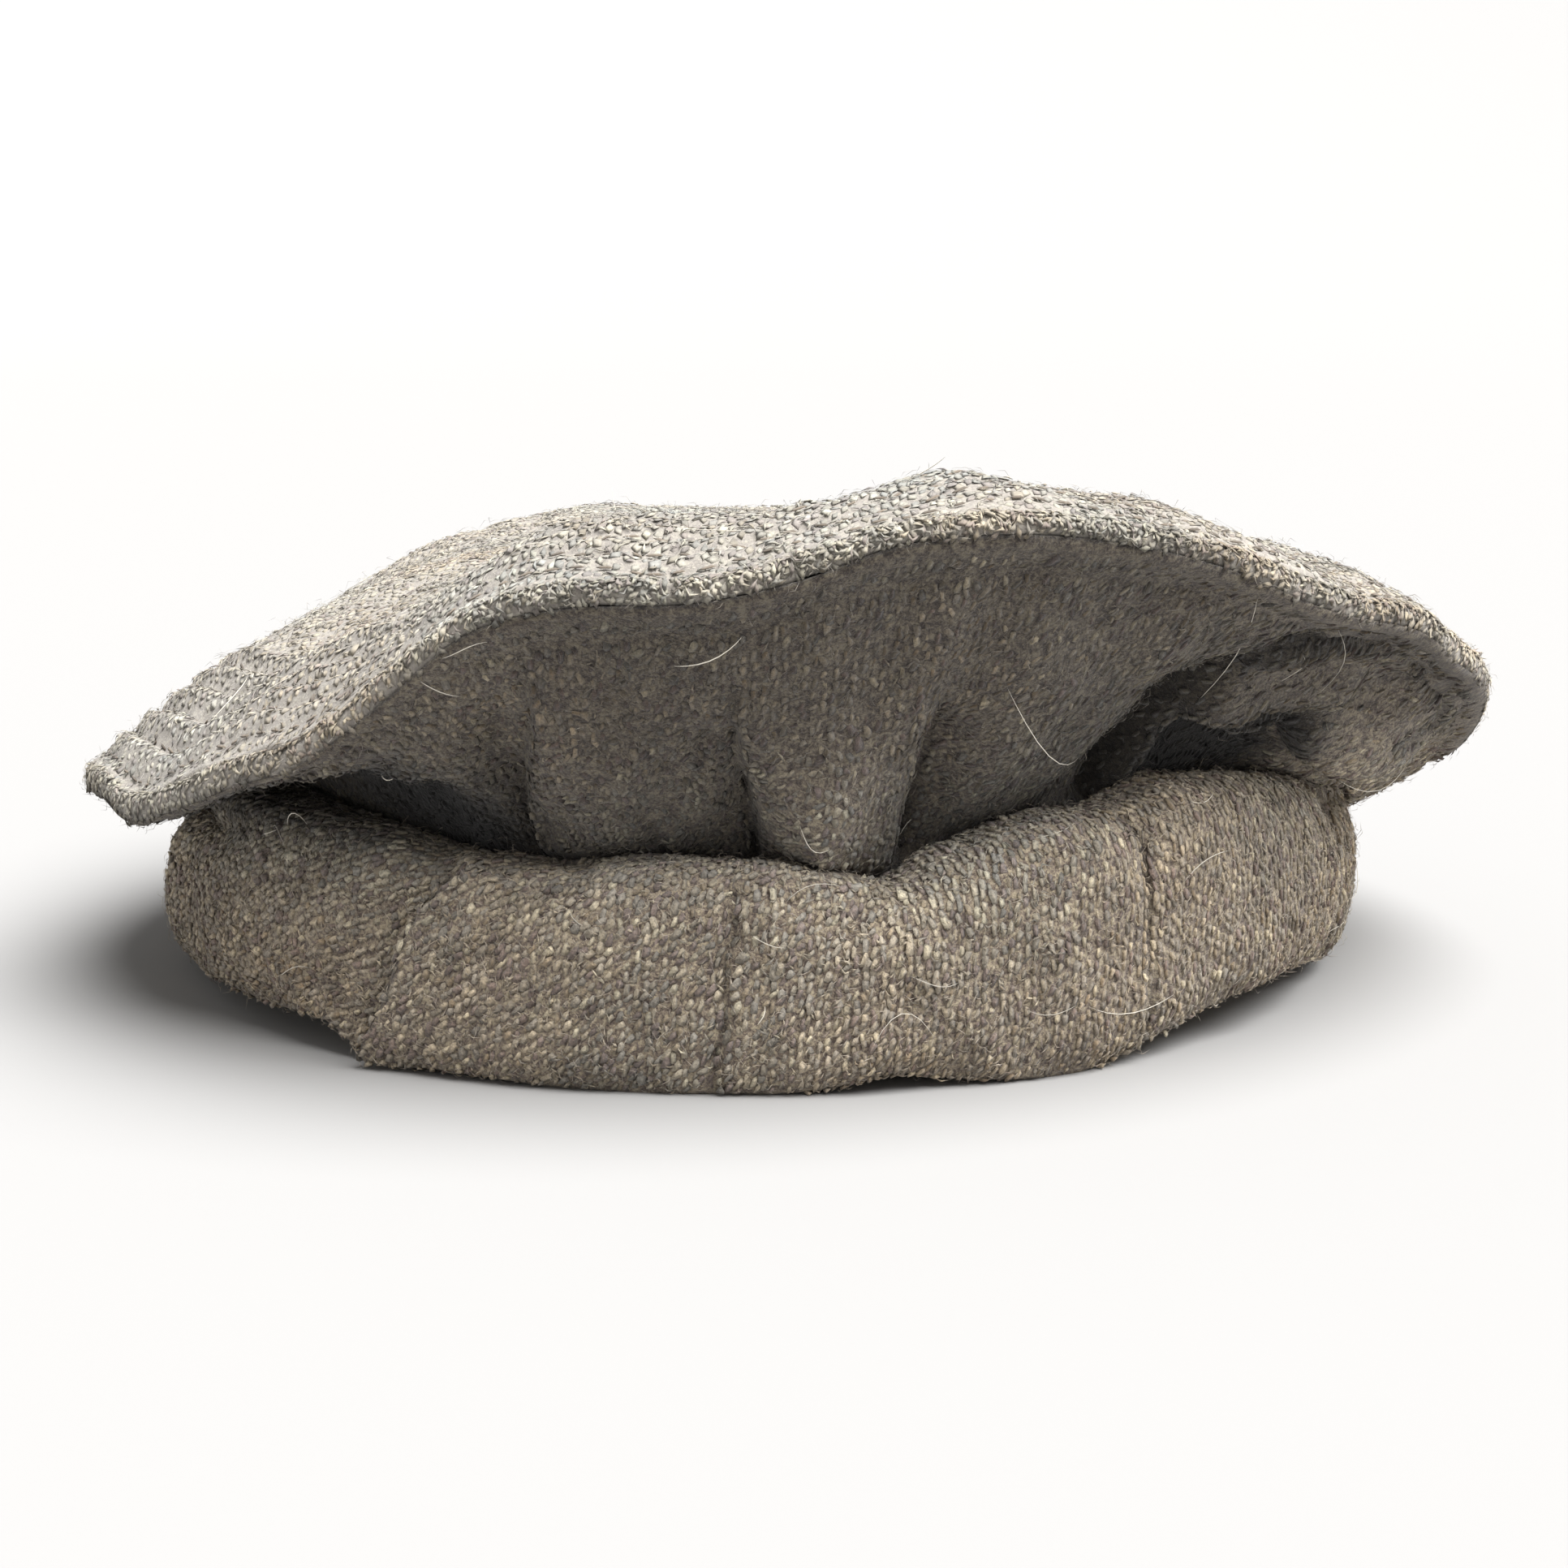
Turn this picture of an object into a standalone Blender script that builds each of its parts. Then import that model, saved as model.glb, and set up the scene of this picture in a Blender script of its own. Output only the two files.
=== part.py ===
"""Pakol: a soft round cap of felted wool with a rolled brim, lying on its roll as it rests by itself.

crown_top    the round top panel, a shallow wavy dome that reaches out past the roll
side_wall    the cloth tube from the crown's edge in and down to the head opening, hollow inside
rolled_brim  the lower end of the tube, wound up on the outside into a thick ring

All three go round one upright axis. Angles are in degrees round it: 0 is the front (-Y),
90 the right (+X) and 180 the back. Lengths are in metres, and +Z is up.
"""

import math
from collections import namedtuple

import bmesh
import bpy
from mathutils import Vector

# Driving dimensions
HEAD_OPENING = 0.178  # inside width of the head opening, for a head of 56 cm
CLOTH = 0.0025  # thickness of the felted wool cloth
SEAM_GAP = 0.0003  # air between pieces that lie against each other
ROLL_THICKNESS = 0.0262  # the roll, from its inner to its outer side
ROLL_HEIGHT = 0.039  # the roll's usual height at the front
CROWN_RISE = 0.063  # from the roll's usual height up to the crown's highest level
SIDE_OVERHANG = 0.0235  # the crown's edge past the roll, left and right, before it droops
FRONT_OVERHANG = 0.020  # the same, front and back
CROWN_SHIFT = 0.0048  # how far the crown has slumped to the right of the roll
DROOP_PULL = 0.0032  # how far the edge is drawn in where it droops to the roll's level

# Shape constants, without a length
STATIONS = 96  # sections round the cap
MIDDLE_RISE = 0.765  # the crown's middle, as a share of CROWN_RISE
EDGE_FADE = 3.0  # how fast the waves of the edge die out towards the middle
ROLL_SQUARENESS = 3.0  # 2 is an ellipse, more is a squarer section
UNDERSIDE_PRESS = 1.1  # the underside is drawn this much too deep, then pressed flat
SEAM_PINCH = 0.09  # depth of the roll's seams, as a share of its half thickness
SEAM_SPREAD = 4.5  # how wide a seam pulls the roll in, in degrees
DOME_PEAK = 256 / 27  # brings the top of the dome's curve, share**3 * (1 - share), to 1
DENT_FADE = 4  # how late the crown's dents die out towards the edge
FOLD_FADE = 0.25  # share of the wall at either end over which its folds die out
CROWN_CLOTHS = 2  # the wall stays this many cloths under the crown's face, with one more inside the edge
POLE_WELD = CLOTH / 1000  # points of the crown's middle this close are one
SHARP_ANGLE = 50  # edges that turn more than this, in degrees, are shaded sharp

# Looks of the wool, as linear colours
CROWN_COLOUR = (0.50, 0.46, 0.41)
WALL_COLOUR = (0.22, 0.20, 0.17)
BRIM_COLOUR = (0.26, 0.23, 0.20)
WOOL_ROUGHNESS = 0.95

# Sizes that follow from the driving dimensions
WALL_RADIUS = HEAD_OPENING / 2 + CLOTH
ROLL_INNER = WALL_RADIUS + SEAM_GAP
ROLL_OUTER = ROLL_INNER + ROLL_THICKNESS
ROLL_MIDDLE = (ROLL_INNER + ROLL_OUTER) / 2
CROWN_SIDE = ROLL_OUTER + SIDE_OVERHANG
CROWN_FRONT = ROLL_OUTER + FRONT_OVERHANG
WALL_RUN = CROWN_SIDE - WALL_RADIUS

# The crown's edge and the dome behind it. Both are shares of CROWN_RISE: rise is the edge's
# height above ROLL_HEIGHT, and swell is how much the dome stands over a plain slope there.
Edge = namedtuple("Edge", "angle rise swell")
EDGE = (
    Edge(-180, 0.26, 0.03),
    Edge(-150, 0.22, 0.01),
    Edge(-125, 0.13, -0.02),
    Edge(-105, 0.00, -0.08),
    Edge(-90, -0.03, -0.08),
    Edge(-78, 0.03, -0.04),
    Edge(-68, 0.07, -0.02),
    Edge(-60, 0.04, 0.00),
    Edge(-52, 0.11, 0.03),
    Edge(-43.5, 0.22, 0.05),
    Edge(-35.5, 0.32, 0.08),
    Edge(-28, 0.50, 0.11),
    Edge(-20.5, 0.71, 0.14),
    Edge(-13, 0.79, 0.16),
    Edge(-4, 0.81, 0.17),
    Edge(3, 0.87, 0.16),
    Edge(10, 0.96, 0.15),
    Edge(18, 0.98, 0.16),
    Edge(26, 0.945, 0.14),
    Edge(34, 0.865, 0.16),
    Edge(44, 0.725, 0.14),
    Edge(56, 0.62, 0.10),
    Edge(64, 0.49, 0.11),
    Edge(72, 0.40, 0.08),
    Edge(79, 0.31, 0.07),
    Edge(87, 0.17, 0.07),
    Edge(97, 0.02, 0.09),
    Edge(110, 0.03, 0.08),
    Edge(130, 0.16, 0.05),
    Edge(155, 0.24, 0.03),
)

# The roll as it goes round. Both are shares of ROLL_HEIGHT: crest is the height of its top,
# and lift is the height of its underside, which leaves the table at both flanks.
Roll = namedtuple("Roll", "angle crest lift")
ROLL = (
    Roll(-180, 1.04, 0.00),
    Roll(-140, 1.06, 0.00),
    Roll(-110, 1.08, 0.06),
    Roll(-80, 1.09, 0.10),
    Roll(-62, 1.09, 0.14),
    Roll(-50, 1.10, 0.15),
    Roll(-43, 1.08, 0.15),
    Roll(-36, 1.04, 0.00),
    Roll(-28, 1.00, 0.03),
    Roll(-19, 0.98, 0.00),
    Roll(-8, 1.03, 0.00),
    Roll(1, 1.02, 0.00),
    Roll(7, 0.96, 0.03),
    Roll(12, 0.92, 0.08),
    Roll(17, 1.03, 0.05),
    Roll(23, 1.11, 0.01),
    Roll(30, 1.19, 0.00),
    Roll(37, 1.24, 0.08),
    Roll(47, 1.24, 0.19),
    Roll(58, 1.19, 0.23),
    Roll(68, 1.12, 0.20),
    Roll(79, 1.10, 0.10),
    Roll(95, 1.09, 0.07),
    Roll(120, 1.06, 0.05),
    Roll(150, 1.04, 0.00),
)
ROLL_SEAMS = (-31, -2, 36, 72, 108, 146, 180, -146, -110, -70)  # angles of the seams across the roll

# How far the wall hangs out and down between the crown's edge and the roll, as a share of WALL_RUN.
Sag = namedtuple("Sag", "angle hang")
SAG = (
    Sag(-180, 0.12),
    Sag(-120, 0.10),
    Sag(-90, 0.14),
    Sag(-62, 0.08),
    Sag(-35, 0.00),
    Sag(-10, 0.08),
    Sag(20, 0.08),
    Sag(45, 0.02),
    Sag(75, 0.12),
    Sag(100, 0.18),
    Sag(140, 0.12),
)

# The wall's folds. Each is a line on the cloth between two places, given by the angle and by the
# share of the way from the crown's edge, 0, to the roll, 1. push is how far it stands out, or in
# where it is negative, and width is its half width, both as shares of WALL_RUN.
Fold = namedtuple("Fold", "name angle_1 share_1 angle_2 share_2 push width")
FOLDS = (
    Fold("left pocket", -58, 0.75, -36, 0.62, -0.16, 0.30),
    Fold("left panel", -15, 0.35, -12, 0.85, 0.07, 0.18),
    Fold("left step", -22, 0.40, -22, 0.95, -0.09, 0.12),
    Fold("middle seam", -2.5, 0.50, 0, 1.00, -0.12, 0.10),
    Fold("middle lobe", 6, 0.55, 7, 0.90, 0.17, 0.20),
    Fold("lobe's right side", 16, 0.60, 13.5, 1.00, -0.14, 0.11),
    Fold("right panel", 24, 0.35, 23, 0.80, 0.06, 0.16),
    Fold("right valley, rising", 35, 0.90, 40, 0.55, -0.15, 0.14),
    Fold("right valley, along the edge", 40, 0.55, 62, 0.20, -0.13, 0.14),
    Fold("right ridge", 50, 0.62, 74, 0.34, 0.09, 0.15),
    Fold("right hollow", 47, 0.84, 57, 0.80, -0.08, 0.16),
    Fold("right lobe", 70, 0.62, 96, 0.60, 0.07, 0.20),
    Fold("back fold, right", 128, 0.35, 124, 0.95, -0.10, 0.16),
    Fold("back fold, middle", 170, 0.35, 174, 0.95, -0.10, 0.16),
    Fold("back fold, left", -142, 0.35, -138, 0.95, -0.10, 0.16),
)

# Soft dents and bulges of the crown. share is the way from the middle, 0, to the edge, 1, push is
# a share of CROWN_RISE, and width is a share of the crown's radius.
Dent = namedtuple("Dent", "name angle share push width")
DENTS = (
    Dent("middle hollow", 0, 0.00, -0.05, 0.40),
    Dent("left furrow", -52, 0.62, -0.05, 0.16),
    Dent("front furrow", 2, 0.70, -0.03, 0.14),
    Dent("right crest", 20, 0.74, 0.05, 0.16),
    Dent("right furrow", 50, 0.84, -0.06, 0.12),
    Dent("back furrow", 150, 0.55, -0.06, 0.22),
    Dent("back ridge", -140, 0.60, 0.04, 0.22),
)

CROWN_RINGS = (0.97, 0.88, 0.76, 0.62, 0.46, 0.28, 0.12)  # shares of the way from the middle to the edge
WALL_ROWS = (0.10, 0.28, 0.50, 0.74)  # shares of the way from the crown's edge in to the roll's shoulder
ROLL_POINTS = 16  # points of the roll's section
LEAN_POINTS = (2, 3, 4, 5)  # those that the wall hangs free over, or rests on, from the roll's shoulder in
HUG_POINTS = (6, 7, 8, 9, 10)  # those that the wall lies against, from the roll's inner top to its underside


def around(table, column, angle):
    """A column's value at an angle, on a smooth closed curve through the table's rows."""
    first = table[0].angle
    angle = (angle - first) % 360 + first
    count = len(table)
    index = max(i for i in range(count) if table[i].angle <= angle)

    def knot(i):
        row = table[i % count]
        return row.angle + 360 * (i // count), getattr(row, column)

    (a0, v0), (a1, v1), (a2, v2), (a3, v3) = [knot(index + step) for step in (-1, 0, 1, 2)]
    slope_1 = (v2 - v0) / (a2 - a0) * (a2 - a1)
    slope_2 = (v3 - v1) / (a3 - a1) * (a2 - a1)
    t = (angle - a1) / (a2 - a1)
    return (
        (2 * t**3 - 3 * t**2 + 1) * v1
        + (t**3 - 2 * t**2 + t) * slope_1
        + (3 * t**2 - 2 * t**3) * v2
        + (t**3 - t**2) * slope_2
    )


def bell(distance, width):
    """A soft bump, 1 at its middle and near 0 at twice its width."""
    return math.exp(-((distance / width) ** 2))


def place(angle, radius, height):
    """A point from its angle round the cap, its distance from the axis and its height."""
    turn = math.radians(angle)
    return Vector((radius * math.sin(turn), -radius * math.cos(turn), height))


def crown_radius(angle):
    """The crown's edge, from the roll's axis."""
    across = math.sin(math.radians(angle))
    droop = 1 - around(EDGE, "rise", angle)
    return CROWN_FRONT + (CROWN_SIDE - CROWN_FRONT) * across**2 + CROWN_SHIFT * across - DROOP_PULL * droop


def crown_height(angle, share):
    """The crown's top face. share is 0 at the middle and 1 at the edge."""
    middle = ROLL_HEIGHT + CROWN_RISE * MIDDLE_RISE
    edge = ROLL_HEIGHT + CROWN_RISE * around(EDGE, "rise", angle)
    dome = share**3 * (1 - share) * DOME_PEAK
    height = middle + (edge - middle) * share**EDGE_FADE + CROWN_RISE * dome * around(EDGE, "swell", angle)
    for dent in DENTS:
        apart = (place(angle, share, 0) - place(dent.angle, dent.share, 0)).length
        height += CROWN_RISE * dent.push * bell(apart, dent.width) * (1 - share**DENT_FADE)
    return height


def roll_section(angle, turn, clearance=0):
    """Radius and height of a point of the roll's section. turn is 0 outside, 90 on top, 180 inside."""
    pinch = sum(bell((angle - seam + 180) % 360 - 180, SEAM_SPREAD) for seam in ROLL_SEAMS) * SEAM_PINCH
    crest = ROLL_HEIGHT * around(ROLL, "crest", angle)
    bottom = ROLL_HEIGHT * max(around(ROLL, "lift", angle), 0)
    middle = (crest + bottom) / 2
    half_height = (crest - bottom) / 2
    half_width = ROLL_THICKNESS / 2
    sideways = math.cos(math.radians(turn))
    upward = math.sin(math.radians(turn))
    power = 2 / ROLL_SQUARENESS
    outward = math.copysign(abs(sideways) ** power, sideways)
    over = math.copysign(abs(upward) ** power, upward)
    if outward > 0:
        outward *= 1 - pinch
    if over > 0:
        over *= 1 - pinch
    else:
        over *= UNDERSIDE_PRESS
    radius = ROLL_MIDDLE + outward * (half_width + clearance)
    height = max(middle + over * (half_height + clearance), bottom)
    return radius, height


def fold_push(angle, share):
    """How far the wall's folds stand out, or in, at a place on the cloth."""
    across = math.radians(1) * (CROWN_SIDE + WALL_RADIUS) / 2
    total = 0
    for fold in FOLDS:
        turned = (angle - fold.angle_1 + 180) % 360 - 180
        point = Vector((turned * across, share * WALL_RUN))
        start = Vector((0, fold.share_1 * WALL_RUN))
        end = Vector(((fold.angle_2 - fold.angle_1) * across, fold.share_2 * WALL_RUN))
        along = (point - start).dot(end - start) / (end - start).length_squared
        nearest = start.lerp(end, min(max(along, 0), 1))
        total += fold.push * WALL_RUN * bell((point - nearest).length, fold.width * WALL_RUN)
    return total


def wall_line(angle):
    """The wall's outer face at one angle: (radius, height) points from the crown's edge to under the roll."""
    edge_radius = crown_radius(angle) - CLOTH / 2
    edge_height = crown_height(angle, 1) - CLOTH - SEAM_GAP
    leaning = [roll_section(angle, 360 * i / ROLL_POINTS, SEAM_GAP) for i in LEAN_POINTS]
    hugging = [roll_section(angle, 360 * i / ROLL_POINTS, SEAM_GAP) for i in HUG_POINTS]
    neck_radius, neck_height = hugging[0]
    shoulder = leaning[0][0]
    hang = around(SAG, "hang", angle) * WALL_RUN

    def free_height(radius):
        share = (edge_radius - radius) / (edge_radius - neck_radius)
        straight = edge_height + (neck_height - edge_height) * share
        folded = fold_push(angle, share) * min(1, share / FOLD_FADE, (1 - share) / FOLD_FADE)
        return straight - hang * math.sin(math.pi * share) - folded

    line = [(edge_radius, edge_height)]
    for share in WALL_ROWS:
        radius = edge_radius + (shoulder - edge_radius) * share
        line.append((radius, free_height(radius)))
    for radius, height in leaning:
        line.append((radius, max(free_height(radius), height)))
    for i, (radius, height) in enumerate(line[1:], start=1):
        inside_edge = min(1, (edge_radius - radius) / (WALL_RUN * FOLD_FADE))
        room = SEAM_GAP + CLOTH * (CROWN_CLOTHS + inside_edge)
        line[i] = (radius, min(height, crown_height(angle, radius / crown_radius(angle)) - room))
    return line + hugging


def inside_of(line):
    """The wall's inner face: the outer line moved in by the cloth's thickness, level at the crown's edge."""
    points = [Vector(point) for point in line]
    inner = [points[0] - Vector((CLOTH, 0))]
    for before, point, after in zip(points, points[1:], points[2:] + [None]):
        along = ((after or point) - before).normalized()
        inner.append(point + CLOTH * Vector((along.y, -along.x)))
    return [tuple(point) for point in inner]


def ring_body(name, section_at, colour, pole=False):
    """A closed body from a section at every station. With a pole, each section runs from the top's middle to
    the underside's middle, and its two end points are shared by all stations."""
    mesh = bmesh.new()
    sections = []
    for station in range(STATIONS):
        angle = 360 * station / STATIONS
        points = section_at(angle)
        sections.append([mesh.verts.new(place(angle, *point)) for point in points])
    count = len(sections[0])
    last = count - 1 if pole else count
    for here, there in zip(sections, sections[1:] + sections[:1]):
        for i in range(last):
            k = (i + 1) % count
            mesh.faces.new((here[i], here[k], there[k]))
            mesh.faces.new((here[i], there[k], there[i]))
    if pole:
        bmesh.ops.remove_doubles(mesh, verts=mesh.verts, dist=POLE_WELD)
        bmesh.ops.dissolve_degenerate(mesh, dist=POLE_WELD, edges=mesh.edges)
    bmesh.ops.recalc_face_normals(mesh, faces=mesh.faces)
    data = bpy.data.meshes.new(name)
    mesh.to_mesh(data)
    mesh.free()
    data.shade_smooth()
    data.set_sharp_from_angle(angle=math.radians(SHARP_ANGLE))
    data.materials.append(wool(name + "_wool", colour))
    body = bpy.data.objects.new(name, data)
    bpy.data.collections["pakol"].objects.link(body)
    return body


def wool(name, colour):
    """A rough, matt wool cloth of one colour."""
    material = bpy.data.materials.new(name)
    material.use_nodes = True
    shader = material.node_tree.nodes["Principled BSDF"]
    shader.inputs["Base Color"].default_value = (*colour, 1)
    shader.inputs["Roughness"].default_value = WOOL_ROUGHNESS
    shader.inputs["Metallic"].default_value = 0
    return material


def crown_section(angle):
    """Top middle, out over the dome, round the soft edge and back along the underside."""
    radius = crown_radius(angle)
    top = [(radius * share, crown_height(angle, share)) for share in reversed(CROWN_RINGS)]
    under = [(distance, height - CLOTH) for distance, height in reversed(top)]
    lip = [(radius - CLOTH / 2, crown_height(angle, 1)), (radius, crown_height(angle, 1) - CLOTH / 2)]
    lip.append((radius - CLOTH / 2, crown_height(angle, 1) - CLOTH))
    middle = crown_height(0, 0)
    return [(0, middle)] + top + lip + under + [(0, middle - CLOTH)]


def wall_section(angle):
    """Down the wall's outer face and back up its inner face."""
    line = wall_line(angle)
    return line + inside_of(line)[::-1]


def brim_section(angle):
    """Once round the roll."""
    return [roll_section(angle, 360 * i / ROLL_POINTS) for i in range(ROLL_POINTS)]


def stand_on_origin(bodies):
    """Moves the bodies so that the middle of the whole cap's underside is at the origin."""
    corners = [vertex.co for body in bodies for vertex in body.data.vertices]
    low = Vector([min(corner[axis] for corner in corners) for axis in range(3)])
    high = Vector([max(corner[axis] for corner in corners) for axis in range(3)])
    shift = Vector(((low.x + high.x) / 2, (low.y + high.y) / 2, low.z))
    for body in bodies:
        for vertex in body.data.vertices:
            vertex.co -= shift


def main():
    for thing in list(bpy.data.objects):
        bpy.data.objects.remove(thing, do_unlink=True)
    bpy.context.scene.collection.children.link(bpy.data.collections.new("pakol"))
    bodies = (
        ring_body("crown_top", crown_section, CROWN_COLOUR, pole=True),
        ring_body("side_wall", wall_section, WALL_COLOUR),
        ring_body("rolled_brim", brim_section, BRIM_COLOUR),
    )
    stand_on_origin(bodies)


main()
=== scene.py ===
# %% [markdown]
# A pakol: a soft round cap of hand-woven wool with a rolled brim, lying on a table.
# The solids of the frame have its true size and its large folds. This lesson dresses them: it makes the
# same three pieces again as fine cloth, lays the yarns of the weave on them one by one, and adds the
# fuzz and the stray hairs that make wool look like wool.

# %% Load the frame
import math
from collections import namedtuple

import bmesh
import bpy
import numpy as np
from mathutils import Matrix, Vector


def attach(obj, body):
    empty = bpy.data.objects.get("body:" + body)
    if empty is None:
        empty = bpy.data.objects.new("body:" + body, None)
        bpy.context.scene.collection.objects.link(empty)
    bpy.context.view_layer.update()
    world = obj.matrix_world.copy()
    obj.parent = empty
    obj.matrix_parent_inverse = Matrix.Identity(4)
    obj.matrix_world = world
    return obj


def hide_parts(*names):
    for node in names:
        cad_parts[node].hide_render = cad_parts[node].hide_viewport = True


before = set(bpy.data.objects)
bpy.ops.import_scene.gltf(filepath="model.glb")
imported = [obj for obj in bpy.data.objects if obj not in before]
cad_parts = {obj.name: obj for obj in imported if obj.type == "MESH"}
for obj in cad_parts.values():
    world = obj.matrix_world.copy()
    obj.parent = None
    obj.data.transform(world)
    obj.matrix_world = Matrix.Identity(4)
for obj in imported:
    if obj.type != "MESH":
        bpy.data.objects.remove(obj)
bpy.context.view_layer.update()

# %% [markdown]
# The sizes come first. The cloth, the head opening and the heights are those of the solids, in metres.
# The neck is where the wall passes into the roll, at this turn of the roll's section.

# %% Sizes of the cap
HEAD_OPENING = 0.178
CLOTH = 0.0025
SEAM_GAP = 0.0003
ROLL_THICKNESS = 0.0262
ROLL_HEIGHT = 0.039
CROWN_RISE = 0.063
SIDE_OVERHANG = 0.0235
FRONT_OVERHANG = 0.020
CROWN_SHIFT = 0.0048
DROOP_PULL = 0.0032
MIDDLE_RISE = 0.765
EDGE_FADE = 3.0
ROLL_SQUARENESS = 3.0
UNDERSIDE_PRESS = 1.1
SEAM_PINCH = 0.09
SEAM_SPREAD = 4.5
DOME_PEAK = 256 / 27
FOLD_FADE = 0.25
NECK_TURN = 135.0

WALL_RADIUS = HEAD_OPENING / 2 + CLOTH
ROLL_INNER = WALL_RADIUS + SEAM_GAP
ROLL_OUTER = ROLL_INNER + ROLL_THICKNESS
ROLL_MIDDLE = (ROLL_INNER + ROLL_OUTER) / 2
CROWN_SIDE = ROLL_OUTER + SIDE_OVERHANG
CROWN_FRONT = ROLL_OUTER + FRONT_OVERHANG
WALL_RUN = CROWN_SIDE - WALL_RADIUS
MM = 0.001
print("roll", round(2 * ROLL_OUTER / MM), "mm and crown", round(2 * CROWN_SIDE / MM), "mm across")

# %% [markdown]
# Soft cloth has no formula, but a short table and a smooth curve through its rows are all that a form
# needs. Angles are in degrees round the cap: 0 is the front (-Y), 90 the right and 180 the back. The first
# table gives the height of the crown's edge and the swell of the dome behind it, the second the top and
# the underside of the roll, and the third how much the wall hangs. All are shares of the sizes above.

# %% Heights round the cap


def table(columns, *rows):
    """Rows with named columns."""
    Row = namedtuple("Row", columns)
    return tuple(Row(*row) for row in rows)


EDGE = table(
    "angle rise swell",
    (-180, 0.26, 0.03), (-150, 0.22, 0.01), (-125, 0.13, -0.02), (-105, 0.00, -0.08),
    (-90, -0.03, -0.08), (-78, 0.03, -0.04), (-68, 0.07, -0.02), (-60, 0.04, 0.00),
    (-52, 0.11, 0.03), (-43.5, 0.22, 0.05), (-35.5, 0.32, 0.08), (-28, 0.50, 0.11),
    (-20.5, 0.71, 0.14), (-13, 0.79, 0.16), (-4, 0.81, 0.17), (3, 0.87, 0.16),
    (10, 0.96, 0.15), (18, 0.98, 0.16), (26, 0.945, 0.14), (34, 0.865, 0.16),
    (44, 0.725, 0.14), (56, 0.62, 0.10), (64, 0.49, 0.11), (72, 0.40, 0.08),
    (79, 0.31, 0.07), (87, 0.17, 0.07), (97, 0.02, 0.09), (110, 0.03, 0.08),
    (130, 0.16, 0.05), (155, 0.24, 0.03),
)
ROLL = table(
    "angle crest lift",
    (-180, 1.04, 0.00), (-140, 1.06, 0.00), (-110, 1.08, 0.06), (-80, 1.09, 0.10),
    (-62, 1.09, 0.14), (-50, 1.10, 0.15), (-43, 1.08, 0.15), (-36, 1.04, 0.00),
    (-28, 1.00, 0.03), (-19, 0.98, 0.00), (-8, 1.03, 0.00), (1, 1.02, 0.00),
    (7, 0.96, 0.03), (12, 0.92, 0.08), (17, 1.03, 0.05), (23, 1.11, 0.01),
    (30, 1.19, 0.00), (37, 1.24, 0.08), (47, 1.24, 0.19), (58, 1.19, 0.23),
    (68, 1.12, 0.20), (79, 1.10, 0.10), (95, 1.09, 0.07), (120, 1.06, 0.05),
    (150, 1.04, 0.00),
)
ROLL_SEAMS = (-31, -2, 36, 72, 108, 146, 180, -146, -110, -70)
SAG = table(
    "angle hang",
    (-180, 0.12), (-120, 0.10), (-90, 0.14), (-62, 0.08), (-35, 0.00), (-10, 0.08),
    (20, 0.08), (45, 0.02), (75, 0.12), (100, 0.18), (140, 0.12),
)
print(len(EDGE), "rows for the crown's edge,", len(ROLL), "for the roll and", len(SAG), "for the wall")

# %% [markdown]
# A fold pushes the wall out, or in where its push is negative, along a line between two places. A place
# is an angle and a share of the wall, 0 at the crown's edge and 1 at the neck. The first table has the
# large folds of the solids, the second the softer ones that only the fine cloth shows. The dents are
# shallow furrows and crests in the crown's top.

# %% Folds and dents
FOLD_COLUMNS = "name angle_1 share_1 angle_2 share_2 push width"
FOLDS = table(
    FOLD_COLUMNS,
    ("left pocket", -58, 0.75, -36, 0.62, -0.16, 0.30),
    ("left panel", -15, 0.35, -12, 0.85, 0.07, 0.18),
    ("left step", -22, 0.40, -22, 0.95, -0.09, 0.12),
    ("middle seam", -2.5, 0.50, 0, 1.00, -0.12, 0.10),
    ("middle lobe", 6, 0.55, 7, 0.90, 0.17, 0.20),
    ("lobe's right side", 16, 0.60, 13.5, 1.00, -0.14, 0.11),
    ("right panel", 24, 0.35, 23, 0.80, 0.06, 0.16),
    ("right valley, rising", 35, 0.90, 40, 0.55, -0.15, 0.14),
    ("right valley, along the edge", 40, 0.55, 62, 0.20, -0.13, 0.14),
    ("right ridge", 50, 0.62, 74, 0.34, 0.09, 0.15),
    ("right hollow", 47, 0.84, 57, 0.80, -0.08, 0.16),
    ("right lobe", 70, 0.62, 96, 0.60, 0.07, 0.20),
    ("back fold, right", 128, 0.35, 124, 0.95, -0.10, 0.16),
    ("back fold, middle", 170, 0.35, 174, 0.95, -0.10, 0.16),
    ("back fold, left", -142, 0.35, -138, 0.95, -0.10, 0.16),
)
SOFT_FOLDS = table(
    FOLD_COLUMNS,
    ("left pocket, its depth", -66, 0.60, -50, 0.64, -0.34, 0.24),
    ("left pocket, its shallow end", -48, 0.68, -36, 0.78, -0.17, 0.20),
    ("left pocket, its roof", -60, 0.30, -40, 0.34, -0.22, 0.16),
    ("right hollow, its depth", 46, 0.80, 56, 0.64, -0.27, 0.12),
    ("right ridge, its crest", 43, 0.57, 57, 0.32, 0.13, 0.07),
    ("lobe over the roll", 7, 0.62, 7, 0.92, 0.05, 0.10),
    ("small swelling, left", -33, 0.42, -28, 0.36, 0.03, 0.10),
    ("small swelling, right", 30, 0.52, 29, 0.85, 0.04, 0.09),
    ("right end pleat, upper", 57, 0.44, 66, 0.14, -0.045, 0.045),
    ("right end pleat, lower", 60, 0.66, 88, 0.36, -0.045, 0.05),
    ("right end fold", 66, 0.78, 92, 0.60, -0.05, 0.06),
)
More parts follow.
